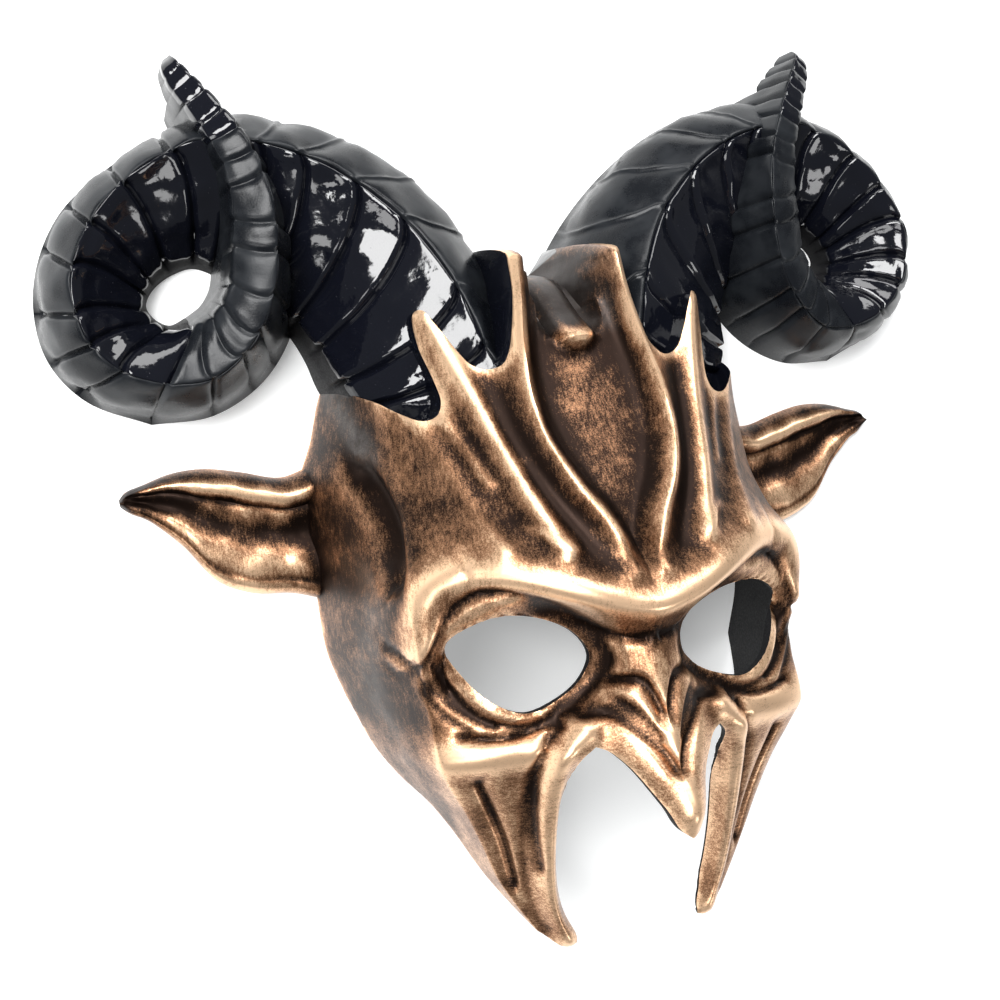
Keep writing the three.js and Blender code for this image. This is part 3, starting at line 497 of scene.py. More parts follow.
def petal(x, y):
    """A raised welt along the petal's edge, and the sunk middle panel of the forehead inside it."""
    gap = path_distance(PETAL_LINE, x, y)
    rise = smoothstep(*PETAL_RISE, y)
    welt = WELT["height"] * bell(gap, WELT["width"])
    sunk = np.where(gap < 0, -PANEL["depth"] * smoothstep(0, PANEL["width"], -gap) * rise, 0)
    return welt * (WELT["least"] + (1 - WELT["least"]) * rise) + sunk


def tongue(x, y):
    """The short round tongue that hangs over the top of the middle panel."""
    reach = np.hypot(x, np.minimum(0, y - TONGUE["end"]))
    inner, outer = TONGUE["radius"] - TONGUE["soft"], TONGUE["radius"] + TONGUE["soft"]
    return TONGUE["height"] * (1 - smoothstep(inner, outer, reach))


def top_wall(x, y):
    """How high the face can be where its top falls back to the rim."""
    gully = along(GULLY, y)[..., 0]
    behind = along(PETAL_TOP, y)[..., 0]
    height = gully + tongue(x, y) + (behind - gully) * smoothstep(*GULLY_WALL, x)
    return np.where(y < GULLY[0][0], np.inf, height)


def brow_lift(x):
    return BROW["rise"] * smoothstep(0, BROW["reach"], x)


def brow(x, y):
    """A heavy roll that rises outwards and hooks down past the corner of the eye."""
    gap = y - BROW["mid"] - brow_lift(x)
    height = BROW_ROLL["height"] - BROW_ROLL["drop"] * smoothstep(*BROW_ROLL["thins"], x)
    height = height * (1 - smoothstep(*BROW_ROLL["ends"], x))
    width = np.where(gap > 0, BROW_ROLL["above"], BROW_ROLL["below"])
    return np.maximum(height * bell(gap, width), BROW_HOOK(x, y))


def nose(x, y):
    height, width = np.moveaxis(along(NOSE, y), -1, 0)
    return height * bell(x, width)


def in_socket(x, y):
    """How far a point lies in the eye socket, from 0 outside to 1 at the opening."""
    across = (x - SOCKET["x"]) / SOCKET["half_width"]
    up = (y - SOCKET["y"]) / SOCKET["half_height"]
    return 1 - smoothstep(*SOCKET["fades"], np.hypot(across, up))


def eye_lip(x, y):
    gap = np.abs(path_distance(EYE_LINE, x, y))
    return EYE_LIP["height"] * bell(gap - EYE_LIP["out"], EYE_LIP["width"])


def tail_drop(x, y):
    """How far the skin rolls down at the inner edge of a moustache tail."""
    gap = path_distance(TAIL_LINE, x, y)
    thinned = 1 - TAIL_ROLL["thinning"] * smoothstep(*TAIL_ROLL["thins"], y)
    reach = smoothstep(*TAIL_ROLL["starts"], y) * thinned * smoothstep(*TAIL_ROLL["stops"], gap)
    return TAIL_ROLL["depth"] * reach * (1 - np.clip(gap / TAIL_ROLL["width"], 0, 1)) ** TAIL_ROLL["curve"]


def front(x, y):
    """Z of the front of the face without its finest lines."""
    middle = along(MIDLINE, y)[..., 0]
    width, edge = np.moveaxis(along(FRONT_EDGE, y), -1, 0)
    share = np.minimum(1, x / width)
    bare = middle + (edge - middle) * share**FRONT_CURVE
    carved = sum(carving(x, y) for carving in CARVINGS) * (1 - share**CARVING_CURVE)
    height = bare + carved + petal(x, y) + tongue(x, y) + brow(x, y) + nose(x, y)
    height = height + (along(EYE_SOCKET, x)[..., 0] - height) * in_socket(x, y)
    return np.minimum(height - tail_drop(x, y), top_wall(x, y))


def unrolled(points):
    """The way round the face from its middle line to each point, and the point's Y."""
    x, y, z = np.abs(points[..., 0]), points[..., 1], points[..., 2]
    width = along(FRONT_EDGE, y)[..., 0]
    drop = np.maximum(0, front(width, y) - z)
    return np.where(x < width, x, width + np.hypot(x - width, drop)), y


def column_places(y, steps):
    """Columns across half the front, as fractions of the way between the flow lines."""
    width = along(FRONT_EDGE, y)[..., :1]
    lines = np.concatenate([np.zeros_like(width), along(FLOW, y), width], axis=-1)
    columns = []
    for k, count in enumerate(steps):
        share = np.arange(count) / count
        start, end = lines[..., k : k + 1], lines[..., k + 1 : k + 2]
        columns.append(start + (end - start) * share)
    return np.concatenate([*columns, width], axis=-1)


def face_grid(rows, steps):
    """Rows of points across the face from rim to rim. They bow up along the brow."""
    first, full, last, end = BROW_ROWS
    window = smoothstep(first, full, rows) * (1 - smoothstep(last, end, rows))
    x = column_places(rows, steps)
    y = rows[:, None] + window[:, None] * brow_lift(x)
    for k in range(x.shape[1]):
        x[:, k] = column_places(y[:, k], steps)[:, k]
    top = np.stack([x, y, np.maximum(0, front(x, y))], axis=-1)
    x0, y0, z0 = (top[:, -1, axis, None] for axis in range(3))
    t = (np.arange(1, WALL_STEPS + 1) / WALL_STEPS) ** WALL_CROWDING
    rim = along(RIM, rows)
    wall_x = x0 + (rim - x0) * (t + WALL_BULGE * t * (1 - t))
    wall = np.stack([wall_x, y0 + (rows[:, None] - y0) * t, z0 * (1 - t)], axis=-1)
    half = soften_edge(np.concatenate([top, wall], axis=1), top.shape[1] - 1)
    return np.concatenate([half[:, :0:-1] * (-1, 1, 1), half], axis=1)


def fine_lines(lines, around, y):
    """Height of the fine lines together, held back where several cross, and of the hollow of the temple."""
    crossed = sum(line(around, y) for line in lines)
    return np.maximum(crossed, -DEEPEST_WRINKLE) + TEMPLE(around, y)


def skin_grid():
    """The outside of the face with its finest lines and the lips of its eyes."""
    grid = face_grid(face_rows(1), FACE_STEPS)
    around, y = unrolled(grid)
    lines = fine_lines(WRINKLE_RELIEF, around, y) + eye_lip(around, y)
    return moved_out(grid, lines * smoothstep(*RIM_FADE, grid[..., 2]))


def inside_grid():
    """The inside of the face, which keeps its distance from the bottom of every line."""
    grid = face_grid(face_rows(2), INSIDE_STEPS)
    lines = fine_lines(UNDER_WRINKLES, *unrolled(grid))
    return moved_out(grid, lines * smoothstep(*RIM_FADE, grid[..., 2]) - SHEET)


def soften_edge(half, edge):
    """Rounds the corner between the front and the side wall, most at the temples."""
    near = bell(np.arange(half.shape[1]) - edge, EDGE_ROUNDING["columns"])
    temple = smoothstep(*EDGE_ROUNDING["temple"], half[:, edge, 1])
    share = EDGE_ROUNDING["least"] + (1 - EDGE_ROUNDING["least"]) * temple
    return soften(half, near * share[:, None], EDGE_ROUNDING["rounds"])


def soften(grid, weight, rounds):
    """Smooths the rows of a grid across, by the weight of each point."""
    for _ in range(rounds):
        around = (grid[:, :-2] + grid[:, 2:]) / 2
        grid[:, 1:-1] += weight[:, 1:-1, None] * (around - grid[:, 1:-1])
    return grid


def grid_normals(grid):
    """Unit normals out of a grid of points, from its neighbours along and across."""
    normal = np.cross(np.gradient(grid, axis=1), np.gradient(grid, axis=0))
    return normal / np.maximum(np.linalg.norm(normal, axis=-1, keepdims=True), 1e-9)


def moved_out(grid, distance):
    """The grid moved out along its normals."""
    return grid + grid_normals(grid) * np.asarray(distance)[..., None]


def ripple(points, wavelength, seed):
    """Smooth random relief between about -1 and 1."""
    random = np.random.default_rng(seed)
    total = 0
    for _ in range(RIPPLE["waves"]):
        direction = random.normal(size=3)
        length = np.linalg.norm(direction) * wavelength
        direction *= 2 * math.pi / (length * random.uniform(*RIPPLE["spread"]))
        total = total + np.sin(points @ direction + random.uniform(0, 2 * math.pi))
    return 2 * total / RIPPLE["waves"]


def dents(points, waves, seed):
    """Ripples of several heights and wavelengths together."""
    return sum(height * ripple(points, wave, seed + k) for k, (height, wave) in enumerate(waves))


# Bodies
def loft(grid, floor, slots):
    """A closed body through open rows of points that all start and end on its flat underside."""
    rings = grid.copy()
    rings[:, [0, -1], 2] = floor
    rows, size = rings.shape[:2]
    index = np.arange(rows * size).reshape(rows, size)
    side = np.roll(index, -1, axis=1)
    quads = np.stack([index[:-1], side[:-1], side[1:], index[1:]], axis=-1).reshape(-1, 4)
    points = rings.reshape(-1, 3)
    faces = quads.tolist()
    marks = np.broadcast_to(slots, (rows - 1, size)).ravel().tolist()
    for ring, flip in ((0, True), (rows - 1, False)):
        centre = rings[ring].mean(axis=0)
        centre[2] = (rings[ring, :, 2].max() + floor) / 3
        points = np.vstack([points, centre])
        pairs = np.stack([index[ring], side[ring]], axis=-1)
        pairs = pairs[:, ::-1] if flip else pairs
        faces += [[a, b, len(points) - 1] for a, b in pairs.tolist()]
        marks += marks[-size:]
    return points, faces, marks


def mirrored(body):
    points, faces, marks = body
    return points * (-1, 1, 1), [face[::-1] for face in faces], marks


def prism(outline, low, high, slot):
    """An upright body with the given outline."""
    outline = np.asarray(outline, float)
    after = np.roll(outline, -1, axis=0)
    if np.sum(outline[:, 0] * after[:, 1] - after[:, 0] * outline[:, 1]) < 0:
        outline = outline[::-1]
    size = len(outline)
    points = np.vstack([np.column_stack([outline, np.full(size, z)]) for z in (low, high)])
    faces = [list(range(size))[::-1], list(range(size, 2 * size))]
    faces += [[k, (k + 1) % size, size + (k + 1) % size, size + k] for k in range(size)]
    return points, faces, [slot] * len(faces)


def under_trim(line):
    """A body that cuts away all that lies under a line of Y, Z points, right across the mask."""
    outline = [*line, (line[-1][0], -TRIM_DEPTH), (line[0][0], -TRIM_DEPTH)]
    points, faces, marks = prism(outline, -TRIM_HALF_WIDTH, TRIM_HALF_WIDTH, INSIDE)
    return points[:, [2, 0, 1]], faces, marks


def inset_outline(path, distance):
    """The open path moved square to itself, to its right-hand side, without the points that would fold."""
    run = np.vstack([path[1:2] - path[:1], path[2:] - path[:-2], path[-1:] - path[-2:-1]])
    run /= np.linalg.norm(run, axis=1, keepdims=True)
    moved = path + np.column_stack([run[:, 1], -run[:, 0]]) * distance
    moved[0, 0] = 0
    return moved[np.abs(path_distance(path, moved[:, 0], moved[:, 1])) > distance - FOLD_SLACK]


def both_halves(half):
    return np.vstack([half, half[:0:-1] * (-1, 1)])


def skin_outline(inset):
    upper = curve_points(SCALLOPS, OUTLINE_STEPS["scallops"])
    drawn = inset_outline(upper, inset) if inset else upper
    corners = [[OUTLINE_REACH, drawn[-1, 1]], [OUTLINE_REACH, FACE_BOTTOM + inset]]
    return both_halves(np.vstack([drawn, corners]))


def mouth_outline():
    nose_edge = curve_points(NOSE_EDGE, OUTLINE_STEPS["nose"])
    tail_edge = curve_points(TAIL_EDGE, OUTLINE_STEPS["tail"])[1:]
    return both_halves(np.vstack([nose_edge, tail_edge, MOUTH_END]))


def horn_line(stations, spots, place):
    """Points on a horn at the given stations along it, for one place across."""
    table = np.column_stack([np.arange(len(stations)), stations])
    station = along(table, spots)
    flat = np.zeros((len(spots), 1))
    rim = np.hstack([station[:, 0:2], flat])
    crest, edge = station[:, 2:5], station[:, 5:8]
    foot = np.hstack([station[:, 8:10], flat])
    if place > EDGE:
        return edge + (foot - edge) * (place - EDGE)
    outward = (rim - crest) * (1, 1, 0)
    swell = station[:, 10:11] * outward / np.linalg.norm(outward, axis=1, keepdims=True)
    belly = FRONT_BELLY * np.linalg.norm((edge - crest)[:, :2], axis=1)
    chain = [rim]
    for share, rise, part in SIDE_POINTS:
        chain.append(between(rim, crest, share, rise) + part * swell)
    chain.append(crest)
    for share, rise, part in FRONT_POINTS:
        chain.append(between(crest, edge, share, rise + part * belly))
    chain.append(edge)
    return curve_at(np.stack(chain, axis=1), np.array([place]))[:, 0]


def between(a, b, t, rise):
    mixed = a + (b - a) * t
    mixed[:, 2] += rise
    return mixed


def horn_places(columns):
    """Places across a horn, close together at its crest and at its inner edge."""
    side = np.linspace(0, CREST - CREST_MARGIN, columns[0] + 1)
    front_side = np.linspace(CREST + CREST_MARGIN, EDGE - EDGE_MARGIN[0], columns[1] + 1)
    wall = np.linspace(EDGE + EDGE_MARGIN[1], EDGE + 1, columns[2] + 1)
    crest, edge = CREST + np.array(CREST_PLACES), EDGE + np.array(EDGE_PLACES)
    return np.concatenate([side, crest, front_side, edge, wall])


def line_stations(lines, phases, place, style):
    """Stations at one place across a horn, for rows that follow the lines between its rings."""
    rim, crest, edge = (np.interp(phases, np.arange(len(lines)), column) for column in np.transpose(lines))
    if place < CREST:
        down = np.interp(place, *SIDE_SHARES)
        dip = style["dip"] * (1 - smoothstep(*DIP_FADE, crest))
        return crest + (rim - crest) * down - dip * math.sin(math.pi * down)
    across = min(1, (place - CREST) / (EDGE - CREST))
    ends = smoothstep(0, 1, phases) * (1 - smoothstep(len(lines) - 2, len(lines) - 1, phases))
    bow = style["bow"] * (1 - BOW_LOSS * smoothstep(*BOW_FADE, crest)) * ends
    return crest + (edge - crest) * across - bow * math.sin(math.pi * across)


def horn_grid(stations, lines, places, phases, style):
    """Points over a horn in rows that follow its ring lines, with its inner edge rounded."""
    columns = [horn_line(stations, line_stations(lines, phases, place, style), place) for place in places]
    near = EDGE_SOFTENING["weight"] * bell(places - EDGE, EDGE_SOFTENING["width"])
    return soften(np.stack(columns, axis=1), np.tile(near, (len(phases), 1)), EDGE_SOFTENING["rounds"])


def ring_phases(rings, steps):
    """Places along a horn in rings, close together at the lines between them."""
    return np.concatenate([ring + np.array(steps) for ring in range(rings)] + [[rings]])


def over_skin(places, margin):
    """1 across the side band and the front of a horn, falling to 0 on its rim and down its inner wall."""
    return smoothstep(0, margin, places) * (1 - smoothstep(*WALL_FADE, places))


def front_rings(phase, spacing, style):
    """Rounded rings on the front of a horn, with a groove and a rib at the line between two of them."""
    gap = np.minimum(phase, 1 - phase) * spacing
    groove = style["groove"] * bell(gap, GROOVE_WIDTH)
    rib = style["rib"] * bell(phase * spacing - RIB["after"], RIB["width"])
    return rib - groove - style["round"] * np.abs(2 * phase - 1) ** 3


def side_rings(phase, spacing, places, coiled):
    """The side band: thin raised lines where the horn isn't coiled, and puffed rings where it is."""
    gap = np.minimum(phase, 1 - phase) * spacing
    round_off = np.abs(2 * phase - 1) ** 3
    second = SECOND["height"] * bell((phase - 0.5) * spacing, SECOND["width"])
    second = second * (1 - smoothstep(*SECOND["ends"], places))
    raised = RAISED["height"] * bell(gap, RAISED["width"]) + second - RAISED["round"] * round_off
    lip = PUFFED["lip"] * bell(gap - PUFFED["lip_at"], PUFFED["lip_width"])
    puffed = lip - PUFFED["groove"] * bell(gap, PUFFED["groove_width"]) - PUFFED["round"] * round_off
    return raised + (puffed - raised) * coiled


def ring_relief(grid, lines, places, phases, style):
    """Height of a horn's skin against its smooth shape."""
    spacing = np.linalg.norm(np.gradient(grid, axis=0), axis=-1) / np.gradient(phases)[:, None]
    crest, edge = (grid[:, places.searchsorted(place)] for place in (CREST, EDGE))
    width = np.linalg.norm(edge - crest, axis=-1)
    strength = style["strength"] * smoothstep(*NARROW_FRONT, width)[:, None]
    strength = strength * smoothstep(*SHORT_RING, spacing)
    phase = (phases - np.floor(phases))[:, None]
    stations = np.interp(phases, np.arange(len(lines)), np.array(lines)[:, 1])
    coiled = smoothstep(*COIL_START, stations)[:, None] if style["dip"] else 1
    front_part = front_rings(phase, spacing, style)
    side_part = side_rings(phase, spacing, places, coiled)
    side = 1 - smoothstep(CREST - CREST_TURN, CREST + CREST_TURN, places)
    crease = sum(depth * bell(places - CREST, half) for depth, half in CREST_CREASE)
    carved = front_part + (side_part - front_part) * side - crease
    dented = dents(grid, HORN_DENTS, style["seed"]) + HORN_LEVEL
    held = over_skin(places, HORN_MARGIN["skin"])
    return (carved * strength + dented * np.minimum(1, strength)) * held


def horn_body(stations, lines, mesh, style):
    places = horn_places(mesh["columns"])
    phases = ring_phases(len(lines) - 1, mesh["rows"])
    grid = horn_grid(stations, lines, places, phases, style)
    relief = ring_relief(grid, lines, places, phases, style)
    middle = np.append((places[1:] + places[:-1]) / 2, EDGE + 1)
    skin = np.where(phases[:-1, None] < style["satin_rings"], SATIN, GLOSS)
    slots = np.where(middle < CREST, SATIN, np.where(middle > WALL_FADE[0], style["wall"], skin))
    return loft(moved_out(grid, relief), 0, slots)


def horn_hollow(stations, rows, reach):
    across, down = HOLLOW_COLUMNS
    wall = np.linspace(EDGE, EDGE + 1, down + 1)[1:]
    places = np.concatenate([np.linspace(0, EDGE, across + 1), wall])
    spots = np.linspace(0, reach * (len(stations) - 1), rows)
    grid = np.stack([horn_line(stations, spots, place) for place in places], axis=1)
    depth = SHEET + RING_DEPTH * over_skin(places, HORN_MARGIN["hollow"])
    return loft(moved_out(grid, -depth), -CAVITY_DEPTH, INSIDE)


def ear_grid(section, reach, rows, columns):
    """An ear: a leaf with a raised upper roll and a hollow bowl, from its upper edge to its lower one."""
    table = np.column_stack([np.linspace(0, 1, len(EAR)), EAR])
    places = np.linspace(0, reach, rows)
    station = along(table, places)
    low, high, height = station[:, 0:2], station[:, 2:4], station[:, 4]
    tip = smoothstep(*EAR_TIP, places)
    chain = []
    for share, lift in section:
        domed = lift + (math.sin(math.pi * share) - lift) * tip
        chain.append(np.column_stack([low + (high - low) * share, height * domed]))
    return curve_at(np.stack(chain[::-1], axis=1), np.linspace(0, len(chain) - 1, columns))


def ear_body():
    grid = ear_grid(EAR_SECTION, 1, *EAR_MESH)
    across = np.linspace(0, 1, grid.shape[1])
    held = smoothstep(0, EAR_MARGIN, across) * smoothstep(1, 1 - EAR_MARGIN, across)
    return loft(moved_out(grid, dents(grid, EAR_DENTS, EAR_SEED) * held), 0, PAINT)


def ear_hollow():
    grid = ear_grid(EAR_INSIDE, EAR_HOLLOW, *EAR_HOLLOW_MESH)
    return loft(moved_out(grid, -SHEET), -CAVITY_DEPTH, INSIDE)


def face_rows(share):
    """Y of the rows of the face, by the given share of the steps between them."""
    rows = [FACE_BOTTOM]
    while rows[-1] < FACE_TOP:
        rows.append(rows[-1] + share * np.interp(rows[-1], *np.transpose(ROW_STEPS)))
    return np.array([*rows[:-1], FACE_TOP])


def to_mesh(body, name):
    points, faces, marks = body
    mesh = bpy.data.meshes.new(name)
    mesh.from_pydata(points.tolist(), [], faces)
    for material in MATERIALS:
        mesh.materials.append(material)
    mesh.polygons.foreach_set("material_index", marks)
    return mesh


def add_object(name, data):
    made = bpy.data.objects.new(name, data)
    bpy.context.scene.collection.objects.link(made)
    return made


def to_object(body, name):
    return add_object(name, body if isinstance(body, bpy.types.Mesh) else to_mesh(body, name))


def combined(name, base, steps):
    """The mesh of the base body after others are joined to it, kept within it or cut from it in turn."""
    holder = to_object(base, name)
    tools = []
    for operation, body in steps:
        tool = to_object(body, name + "_tool")
        modifier = holder.modifiers.new(operation, "BOOLEAN")
        modifier.operation = operation
        modifier.solver = "MANIFOLD"
        modifier.object = tool
        tools.append(tool)
    shaped = holder.evaluated_get(bpy.context.evaluated_depsgraph_get())
    mesh = bpy.data.meshes.new_from_object(shaped)
    for spare in (holder, *tools):
        spare_mesh = spare.data
        bpy.data.objects.remove(spare)
        bpy.data.meshes.remove(spare_mesh)
    return mesh


def joined(name, face, outline, parts):
    """The face kept within an upright outline, with the parts and their mirror images joined to it."""
    steps = [("INTERSECT", outline)]
    for part in parts:
        steps += [("UNION", part), ("UNION", mirrored(part))]
    return combined(name, face, steps)


def outer_block():
    horn = horn_body(HORN_ARC, ARC_LINES, ARC_MESH, ARC_STYLE)
    tip = horn_body(HORN_TIP, TIP_LINES, TIP_MESH, TIP_STYLE)
    outline = prism(skin_outline(0), -CAVITY_DEPTH, CUT_HEIGHT, GLOSS)
    return joined("outer", loft(skin_grid(), 0, PAINT), outline, (horn, tip, ear_body()))


def inner_block():
    horn = horn_hollow(HORN_ARC, ARC_HOLLOW_ROWS, 1)
    tip = horn_hollow(HORN_TIP, TIP_HOLLOW_ROWS, TIP_HOLLOW)
    outline = prism(skin_outline(SHEET), -2 * CAVITY_DEPTH, CUT_HEIGHT, INSIDE)
    face = loft(inside_grid(), -CAVITY_DEPTH, INSIDE)
    return joined("inner", face, outline, (horn, tip, ear_hollow()))


def shell_mesh():
    """The whole sheet: the outer block without its inside, its eyes, its mouth and what its rim clears."""
    eye = prism(closed_curve(EYE, OUTLINE_STEPS["eye"]), -CAVITY_DEPTH, CUT_HEIGHT, INSIDE)
    mouth = prism(mouth_outline(), -CAVITY_DEPTH, CUT_HEIGHT, INSIDE)
    run = CHIN_TRIM["run"]
    chin = [(CHIN_TRIM["y"], 0), (CHIN_TRIM["y"] - run, run * CHIN_TRIM["slope"])]
    y, level = TIP_TRIM["y"], TIP_TRIM["level"]
    tip = [(y, 0), (y + TIP_TRIM["rise"], level), (y + TIP_TRIM["run"], level + TIP_TRIM["climb"])]
    cuts = [inner_block(), eye, mirrored(eye), mouth, under_trim(chin), under_trim(tip)]
    return combined("mask_shell_skin", outer_block(), [("DIFFERENCE", cut) for cut in cuts])


def largest_part(mesh):
    """Removes the slivers that the cuts leave beside the sheet."""
    work = bmesh.new()
    work.from_mesh(mesh)
    waiting = set(work.verts)
    parts = []
    while waiting:
        reached = [waiting.pop()]
        for vertex in reached:
            for link in vertex.link_edges:
                other = link.other_vert(vertex)
                if other in waiting:
                    waiting.remove(other)
                    reached.append(other)
        parts.append(reached)
    parts.sort(key=len)
    for part in parts[:-1]:
        bmesh.ops.delete(work, geom=part, context="VERTS")
    work.to_mesh(mesh)
    work.free()


def read_points(mesh):
    points = np.empty(len(mesh.vertices) * 3)
    mesh.vertices.foreach_get("co", points)
    return points.reshape(-1, 3)


def neighbours(mesh):
    """Both ends of every edge, each way round."""
    pairs = np.empty(len(mesh.edges) * 2, int)
    mesh.edges.foreach_get("vertices", pairs)
    pairs = pairs.reshape(-1, 2)
    return np.concatenate([pairs, pairs[:, ::-1]]).T


def averaged(mesh, values):
    """Each point's value mixed half and half with those around it."""
    a, b = neighbours(mesh)
    around = np.bincount(a, values[b], len(values)) / np.bincount(a, minlength=len(values))
    return 0.5 * values + 0.5 * around


def relief_over(mesh, points, rounds, least, most):
    """How far each point stands proud of the surface around it, smoothed in rounds, within limits."""
    a, b = neighbours(mesh)
    count = np.bincount(a, minlength=len(points))[:, None]
    normals = np.empty(len(points) * 3)
    mesh.vertex_normals.foreach_get("vector", normals)
    smooth = points
    for _ in range(rounds):
        around = np.column_stack([np.bincount(a, smooth[b, axis], len(points)) for axis in range(3)])
        smooth = 0.5 * smooth + 0.5 * around / count
    proud = np.sum((points - smooth) * normals.reshape(-1, 3), axis=1)
    return np.clip(proud, least, most)


def store(mesh, name, values):
    layer = mesh.attributes.new(name, "FLOAT", "POINT")
    layer.data.foreach_set("value", values.astype(np.float32))


def painted(strokes, around, y):
    """The sum of soft strokes along paths round the face."""
    total = 0
    for path, amount, half_width in strokes:
        gap = path_distance(curve_points(path, 4 * len(path)), around, y)
        total = total + amount * np.exp(-((gap / half_width) ** 2))
    return total


def paint_areas(points, around):
    """How far each point lies in each area of AREAS, from 0 to 1."""
    spots = {"around": around, "x": np.abs(points[:, 0]), "y": points[:, 1], "z": points[:, 2]}
    areas = {}
    for name, limits in AREAS.items():
        areas[name] = math.prod(smoothstep(start, full, spots[axis]) for axis, start, full in limits)
    return areas


def mark_paint(mesh, points):
    """Stores what the paint follows: where copper was rubbed on, with painted highlights and painted shade
    in places, where grey was sprayed, and how strokes run.
    """
    around, y = unrolled(points)
    areas = paint_areas(points, around)
    face = 1 - areas["ear"]
    # Rubbed copper, with painted highlights along the brow, cheeks and nose and painted shade in the
    # temples
    rubbed_and_painted_light = COPPER["anywhere"] + painted(COPPER_STROKES_AND_PAINTED_LIGHT, around, y) * face
    rubbed_and_painted_light += COPPER["fine"] * relief_over(mesh, points, *FINE_RELIEF)
    rubbed_and_painted_light += COPPER["broad"] * relief_over(mesh, points, *BROAD_RELIEF)
    rubbed_and_painted_light += sum(AREA_COPPER[area] * share for area, share in areas.items())
    store(mesh, "rubbed_and_painted_light", averaged(mesh, np.clip(rubbed_and_painted_light, 0, COPPER["most"])))
    store(mesh, "sprayed", painted(SPRAYED, around, y) * face + GULLY_SPRAY * areas["gully"])
    store(mesh, "strokes", smoothstep(*STROKES_TURN, y))


def fit_box(points):
    """Moves the points to the middle of the length and keeps them within the box of the solid."""
    points[:, 1] -= MIDDLE_Y
    low, high = np.array(CAD_BOX) / MM
    points *= np.minimum(1, (high - low - 2 * BOX_GAP) / (points.max(axis=0) - points.min(axis=0)))
    points += np.clip(0, low + BOX_GAP - points.min(axis=0), high - BOX_GAP - points.max(axis=0))


def build_shell():
    mesh = shell_mesh()
    largest_part(mesh)
    points = read_points(mesh)
    mark_paint(mesh, points)
    fit_box(points)
    mesh.vertices.foreach_set("co", (points * MM).ravel())
    mesh.polygons.foreach_set("use_smooth", [True] * len(mesh.polygons))
    mesh.set_sharp_from_angle(angle=math.radians(SHARP_ANGLE))
    mesh.update()
    return add_object("mask_skin", mesh)


# Paint and light
class Nodes:
    """A material's nodes, with short ways to add them."""

    def __init__(self, name):
        self.material = bpy.data.materials.new(name)
        self.material.use_nodes = True
        self.tree = self.material.node_tree
        self.tree.nodes.clear()

    def add(self, kind, inputs=(), **settings):
        made = self.tree.nodes.new("ShaderNode" + kind)
        for key, value in settings.items():
            setattr(made, key, value)
        for key, value in dict(inputs).items():
            if isinstance(value, bpy.types.NodeSocket):
                self.tree.links.new(value, made.inputs[key])
            else:
                made.inputs[key].default_value = value
        return made

    def place(self, stretch=(1, 1, 1)):
        """Coordinates in millimetres on the mask, stretched by axis."""
        spot = self.add("TexCoord").outputs["Object"]
        factors = tuple(axis / MM for axis in stretch)
        return self.add("VectorMath", {0: spot, 1: factors}, operation="MULTIPLY").outputs[0]

    def noise(self, size, detail=3.0, stretch=(1, 1, 1), roughness=0.55):
        """Noise with features of about the given size in millimetres."""
        where = self.place(stretch)
        inputs = {"Vector": where, "Scale": 1 / size, "Detail": detail, "Roughness": roughness}
        return self.add("TexNoise", inputs).outputs["Fac"]

    def attribute(self, name):
        return self.add("Attribute", attribute_name=name).outputs["Fac"]

    def math(self, operation, a, b=0.0, c=0.0):
        return self.add("Math", {0: a, 1: b, 2: c}, operation=operation).outputs[0]

    def ramp(self, value, low, high, start=0.0, end=1.0):
        inputs = {"Value": value, "From Min": low, "From Max": high, "To Min": start, "To Max": end}
        return self.add("MapRange", inputs, interpolation_type="SMOOTHSTEP").outputs["Result"]

    def mix(self, share, a, b):
        made = self.add("Mix", {0: share, 6: a, 7: b}, data_type="RGBA")
        return made.outputs[2]

    def varied(self, base, texture, amount):
        """The base made higher or lower by a texture around its middle."""
        return self.math("MULTIPLY_ADD", self.math("SUBTRACT", texture, 0.5), amount, base)

    def bump(self, height, strength, distance):
        """A bump by height, with its distance in millimetres."""
        inputs = {"Strength": strength, "Distance": distance * MM, "Height": height}
        return self.add("Bump", inputs).outputs[0]

    def finish(self, colour, roughness, **others):
        inputs = {"Base Color": colour, "Roughness": roughness}
        inputs.update({name.replace("_", " "): value for name, value in others.items()})
        shader = self.add("BsdfPrincipled", inputs)
        output = self.add("OutputMaterial")
        self.tree.links.new(shader.outputs[0], output.inputs[0])
        return self.material


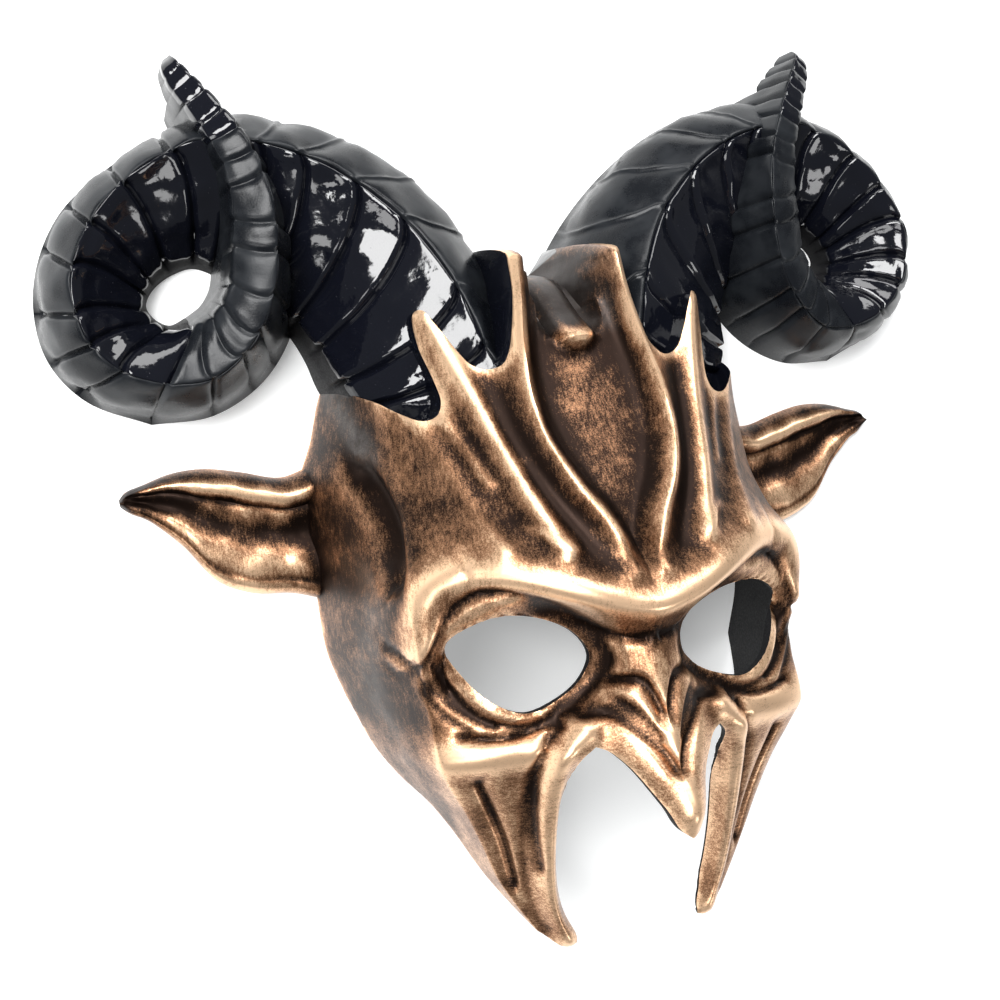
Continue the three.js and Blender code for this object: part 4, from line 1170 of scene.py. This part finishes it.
def copper_paint():
    """Black plastic rubbed with copper: nearly solid on ridges, speckled and scratched in hollows. Where
    the strokes carry painted light, the copper brightens into painted highlights and thins into painted
    shade.
    """
    nodes = Nodes("copper_rubbed_paint")
    rubbed_and_painted_light = nodes.attribute("rubbed_and_painted_light")
    across = nodes.noise(0.6, 4, (0.22, 1, 0.5), 0.65)
    down = nodes.noise(0.7, 4, (1, 0.22, 0.5), 0.65)
    strokes = nodes.mix(nodes.attribute("strokes"), down, across)
    grain = nodes.noise(0.42, 3, roughness=0.7)
    blotch = nodes.noise(10, 4, roughness=0.6)
    speckled = nodes.varied(nodes.varied(nodes.varied(rubbed_and_painted_light, blotch, 0.9), grain, 1.15), strokes, 0.9)
    copper = nodes.ramp(speckled, 0.12, 0.85)
    metal = nodes.mix(nodes.ramp(speckled, 0.6, 1.2), DULL_COPPER, BRIGHT_COPPER)
    colour = nodes.mix(copper, UNDERCOAT, metal)
    cloud = nodes.ramp(nodes.noise(7, 4), 0.3, 0.65, 0.3, 0.9)
    spray = nodes.math("MULTIPLY", nodes.attribute("sprayed"), cloud)
    spray = nodes.math("MULTIPLY", spray, nodes.ramp(grain, 0.3, 0.6, 0.5, 1.0))
    colour = nodes.mix(spray, colour, GREY_SPRAY)
    bare = nodes.math("SUBTRACT", 1.0, spray)
    metallic = nodes.math("MULTIPLY", nodes.ramp(copper, 0, 1, 0.9, 0.75), bare)
    roughness = nodes.math("MULTIPLY_ADD", grain, 0.25, nodes.ramp(copper, 0, 1, 0.3, 0.2))
    height = nodes.math("MULTIPLY_ADD", strokes, 0.5, nodes.math("MULTIPLY", grain, 0.5))
    return nodes.finish(colour, roughness, Metallic=metallic, Normal=nodes.bump(height, 0.5, 0.12))


def gloss_plastic():
    """Glossy blue-black plastic with a slightly uneven skin and a few worn specks."""
    nodes = Nodes("black_gloss_plastic")
    specks = nodes.ramp(nodes.noise(0.7, 2), 0.72, 0.76)
    haze = nodes.ramp(nodes.noise(9, 3), 0.3, 0.75, 0.05, 0.12)
    roughness = nodes.math("ADD", haze, nodes.math("MULTIPLY", specks, 0.25))
    colour = nodes.mix(specks, GLOSS_BLACK, WORN_BLACK)
    height = nodes.math("MULTIPLY_ADD", nodes.noise(1.4, 3), 0.25, nodes.noise(4.5, 2))
    return nodes.finish(colour, roughness, Normal=nodes.bump(height, 0.5, 0.22))


def satin_plastic():
    nodes = Nodes("black_satin_plastic")
    grain = nodes.noise(0.5, 3)
    cloud = nodes.noise(12, 3)
    colour = nodes.mix(nodes.ramp(cloud, 0.35, 0.7), *SATIN_BLACKS)
    roughness = nodes.math("MULTIPLY_ADD", grain, 0.16, nodes.ramp(cloud, 0.3, 0.7, 0.16, 0.28))
    return nodes.finish(colour, roughness, Specular_IOR_Level=0.22, Normal=nodes.bump(grain, 0.35, 0.08))


def inside_plastic():
    nodes = Nodes("black_inside_plastic")
    grain = nodes.noise(0.7, 3)
    colour = nodes.mix(nodes.noise(14, 2), *INSIDE_BLACKS)
    roughness = nodes.ramp(grain, 0.2, 0.8, 0.4, 0.6)
    return nodes.finish(colour, roughness, Specular_IOR_Level=0.08, Normal=nodes.bump(grain, 0.4, 0.08))


def add_floor():
    nodes = Nodes("pale_floor")
    tone = nodes.mix(nodes.noise(60, 2), *FLOOR_WHITES)
    roughness = nodes.ramp(nodes.noise(30, 2), 0.3, 0.7, 0.55, 0.62)
    mesh = bpy.data.meshes.new("floor")
    corners = [(x * FLOOR_REACH, y * FLOOR_REACH, 0) for x, y in ((-1, -1), (1, -1), (1, 1), (-1, 1))]
    mesh.from_pydata(corners, [], [(0, 1, 2, 3)])
    # The floor glows faintly in its own tone: painted light that lifts the shadows on it and lights the
    # mask from below
    mesh.materials.append(nodes.finish(tone, roughness, Emission_Color=tone, Emission_Strength=0.3))
    floor = add_object("floor", mesh)


def add_softbox(name, place, size, power):
    light = bpy.data.lights.new(name, "AREA")
    light.shape = "RECTANGLE"
    light.size, light.size_y = size
    light.energy = power
    made = add_object(name, light)
    made.location = place
    made.rotation_euler = (Vector(LIGHTS_AIM) - Vector(place)).to_track_quat("-Z", "Y").to_euler()


def add_camera():
    camera = bpy.data.cameras.new("camera")
    camera.lens = LENS
    camera.sensor_width = SENSOR
    made = add_object("camera", camera)
    turn = Matrix((CAMERA_RIGHT, CAMERA_UP, -Vector(CAMERA_AHEAD))).transposed().to_4x4()
    made.matrix_world = Matrix.Translation(CAMERA_PLACE) @ turn
    bpy.context.scene.camera = made


def add_world():
    world = bpy.data.worlds.new("studio")
    world.use_nodes = True
    sky = world.node_tree.nodes["Background"].inputs
    sky["Color"].default_value = SKY
    sky["Strength"].default_value = SKY_STRENGTH
    bpy.context.scene.world = world


MATERIALS = (copper_paint(), gloss_plastic(), inside_plastic(), satin_plastic())

add_camera()
shell = build_shell()
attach(shell, "root")
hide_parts("mask_shell")
add_floor()
add_world()
for box in SOFTBOXES:
    add_softbox(*box)
bpy.context.scene.view_settings.view_transform = "Standard"
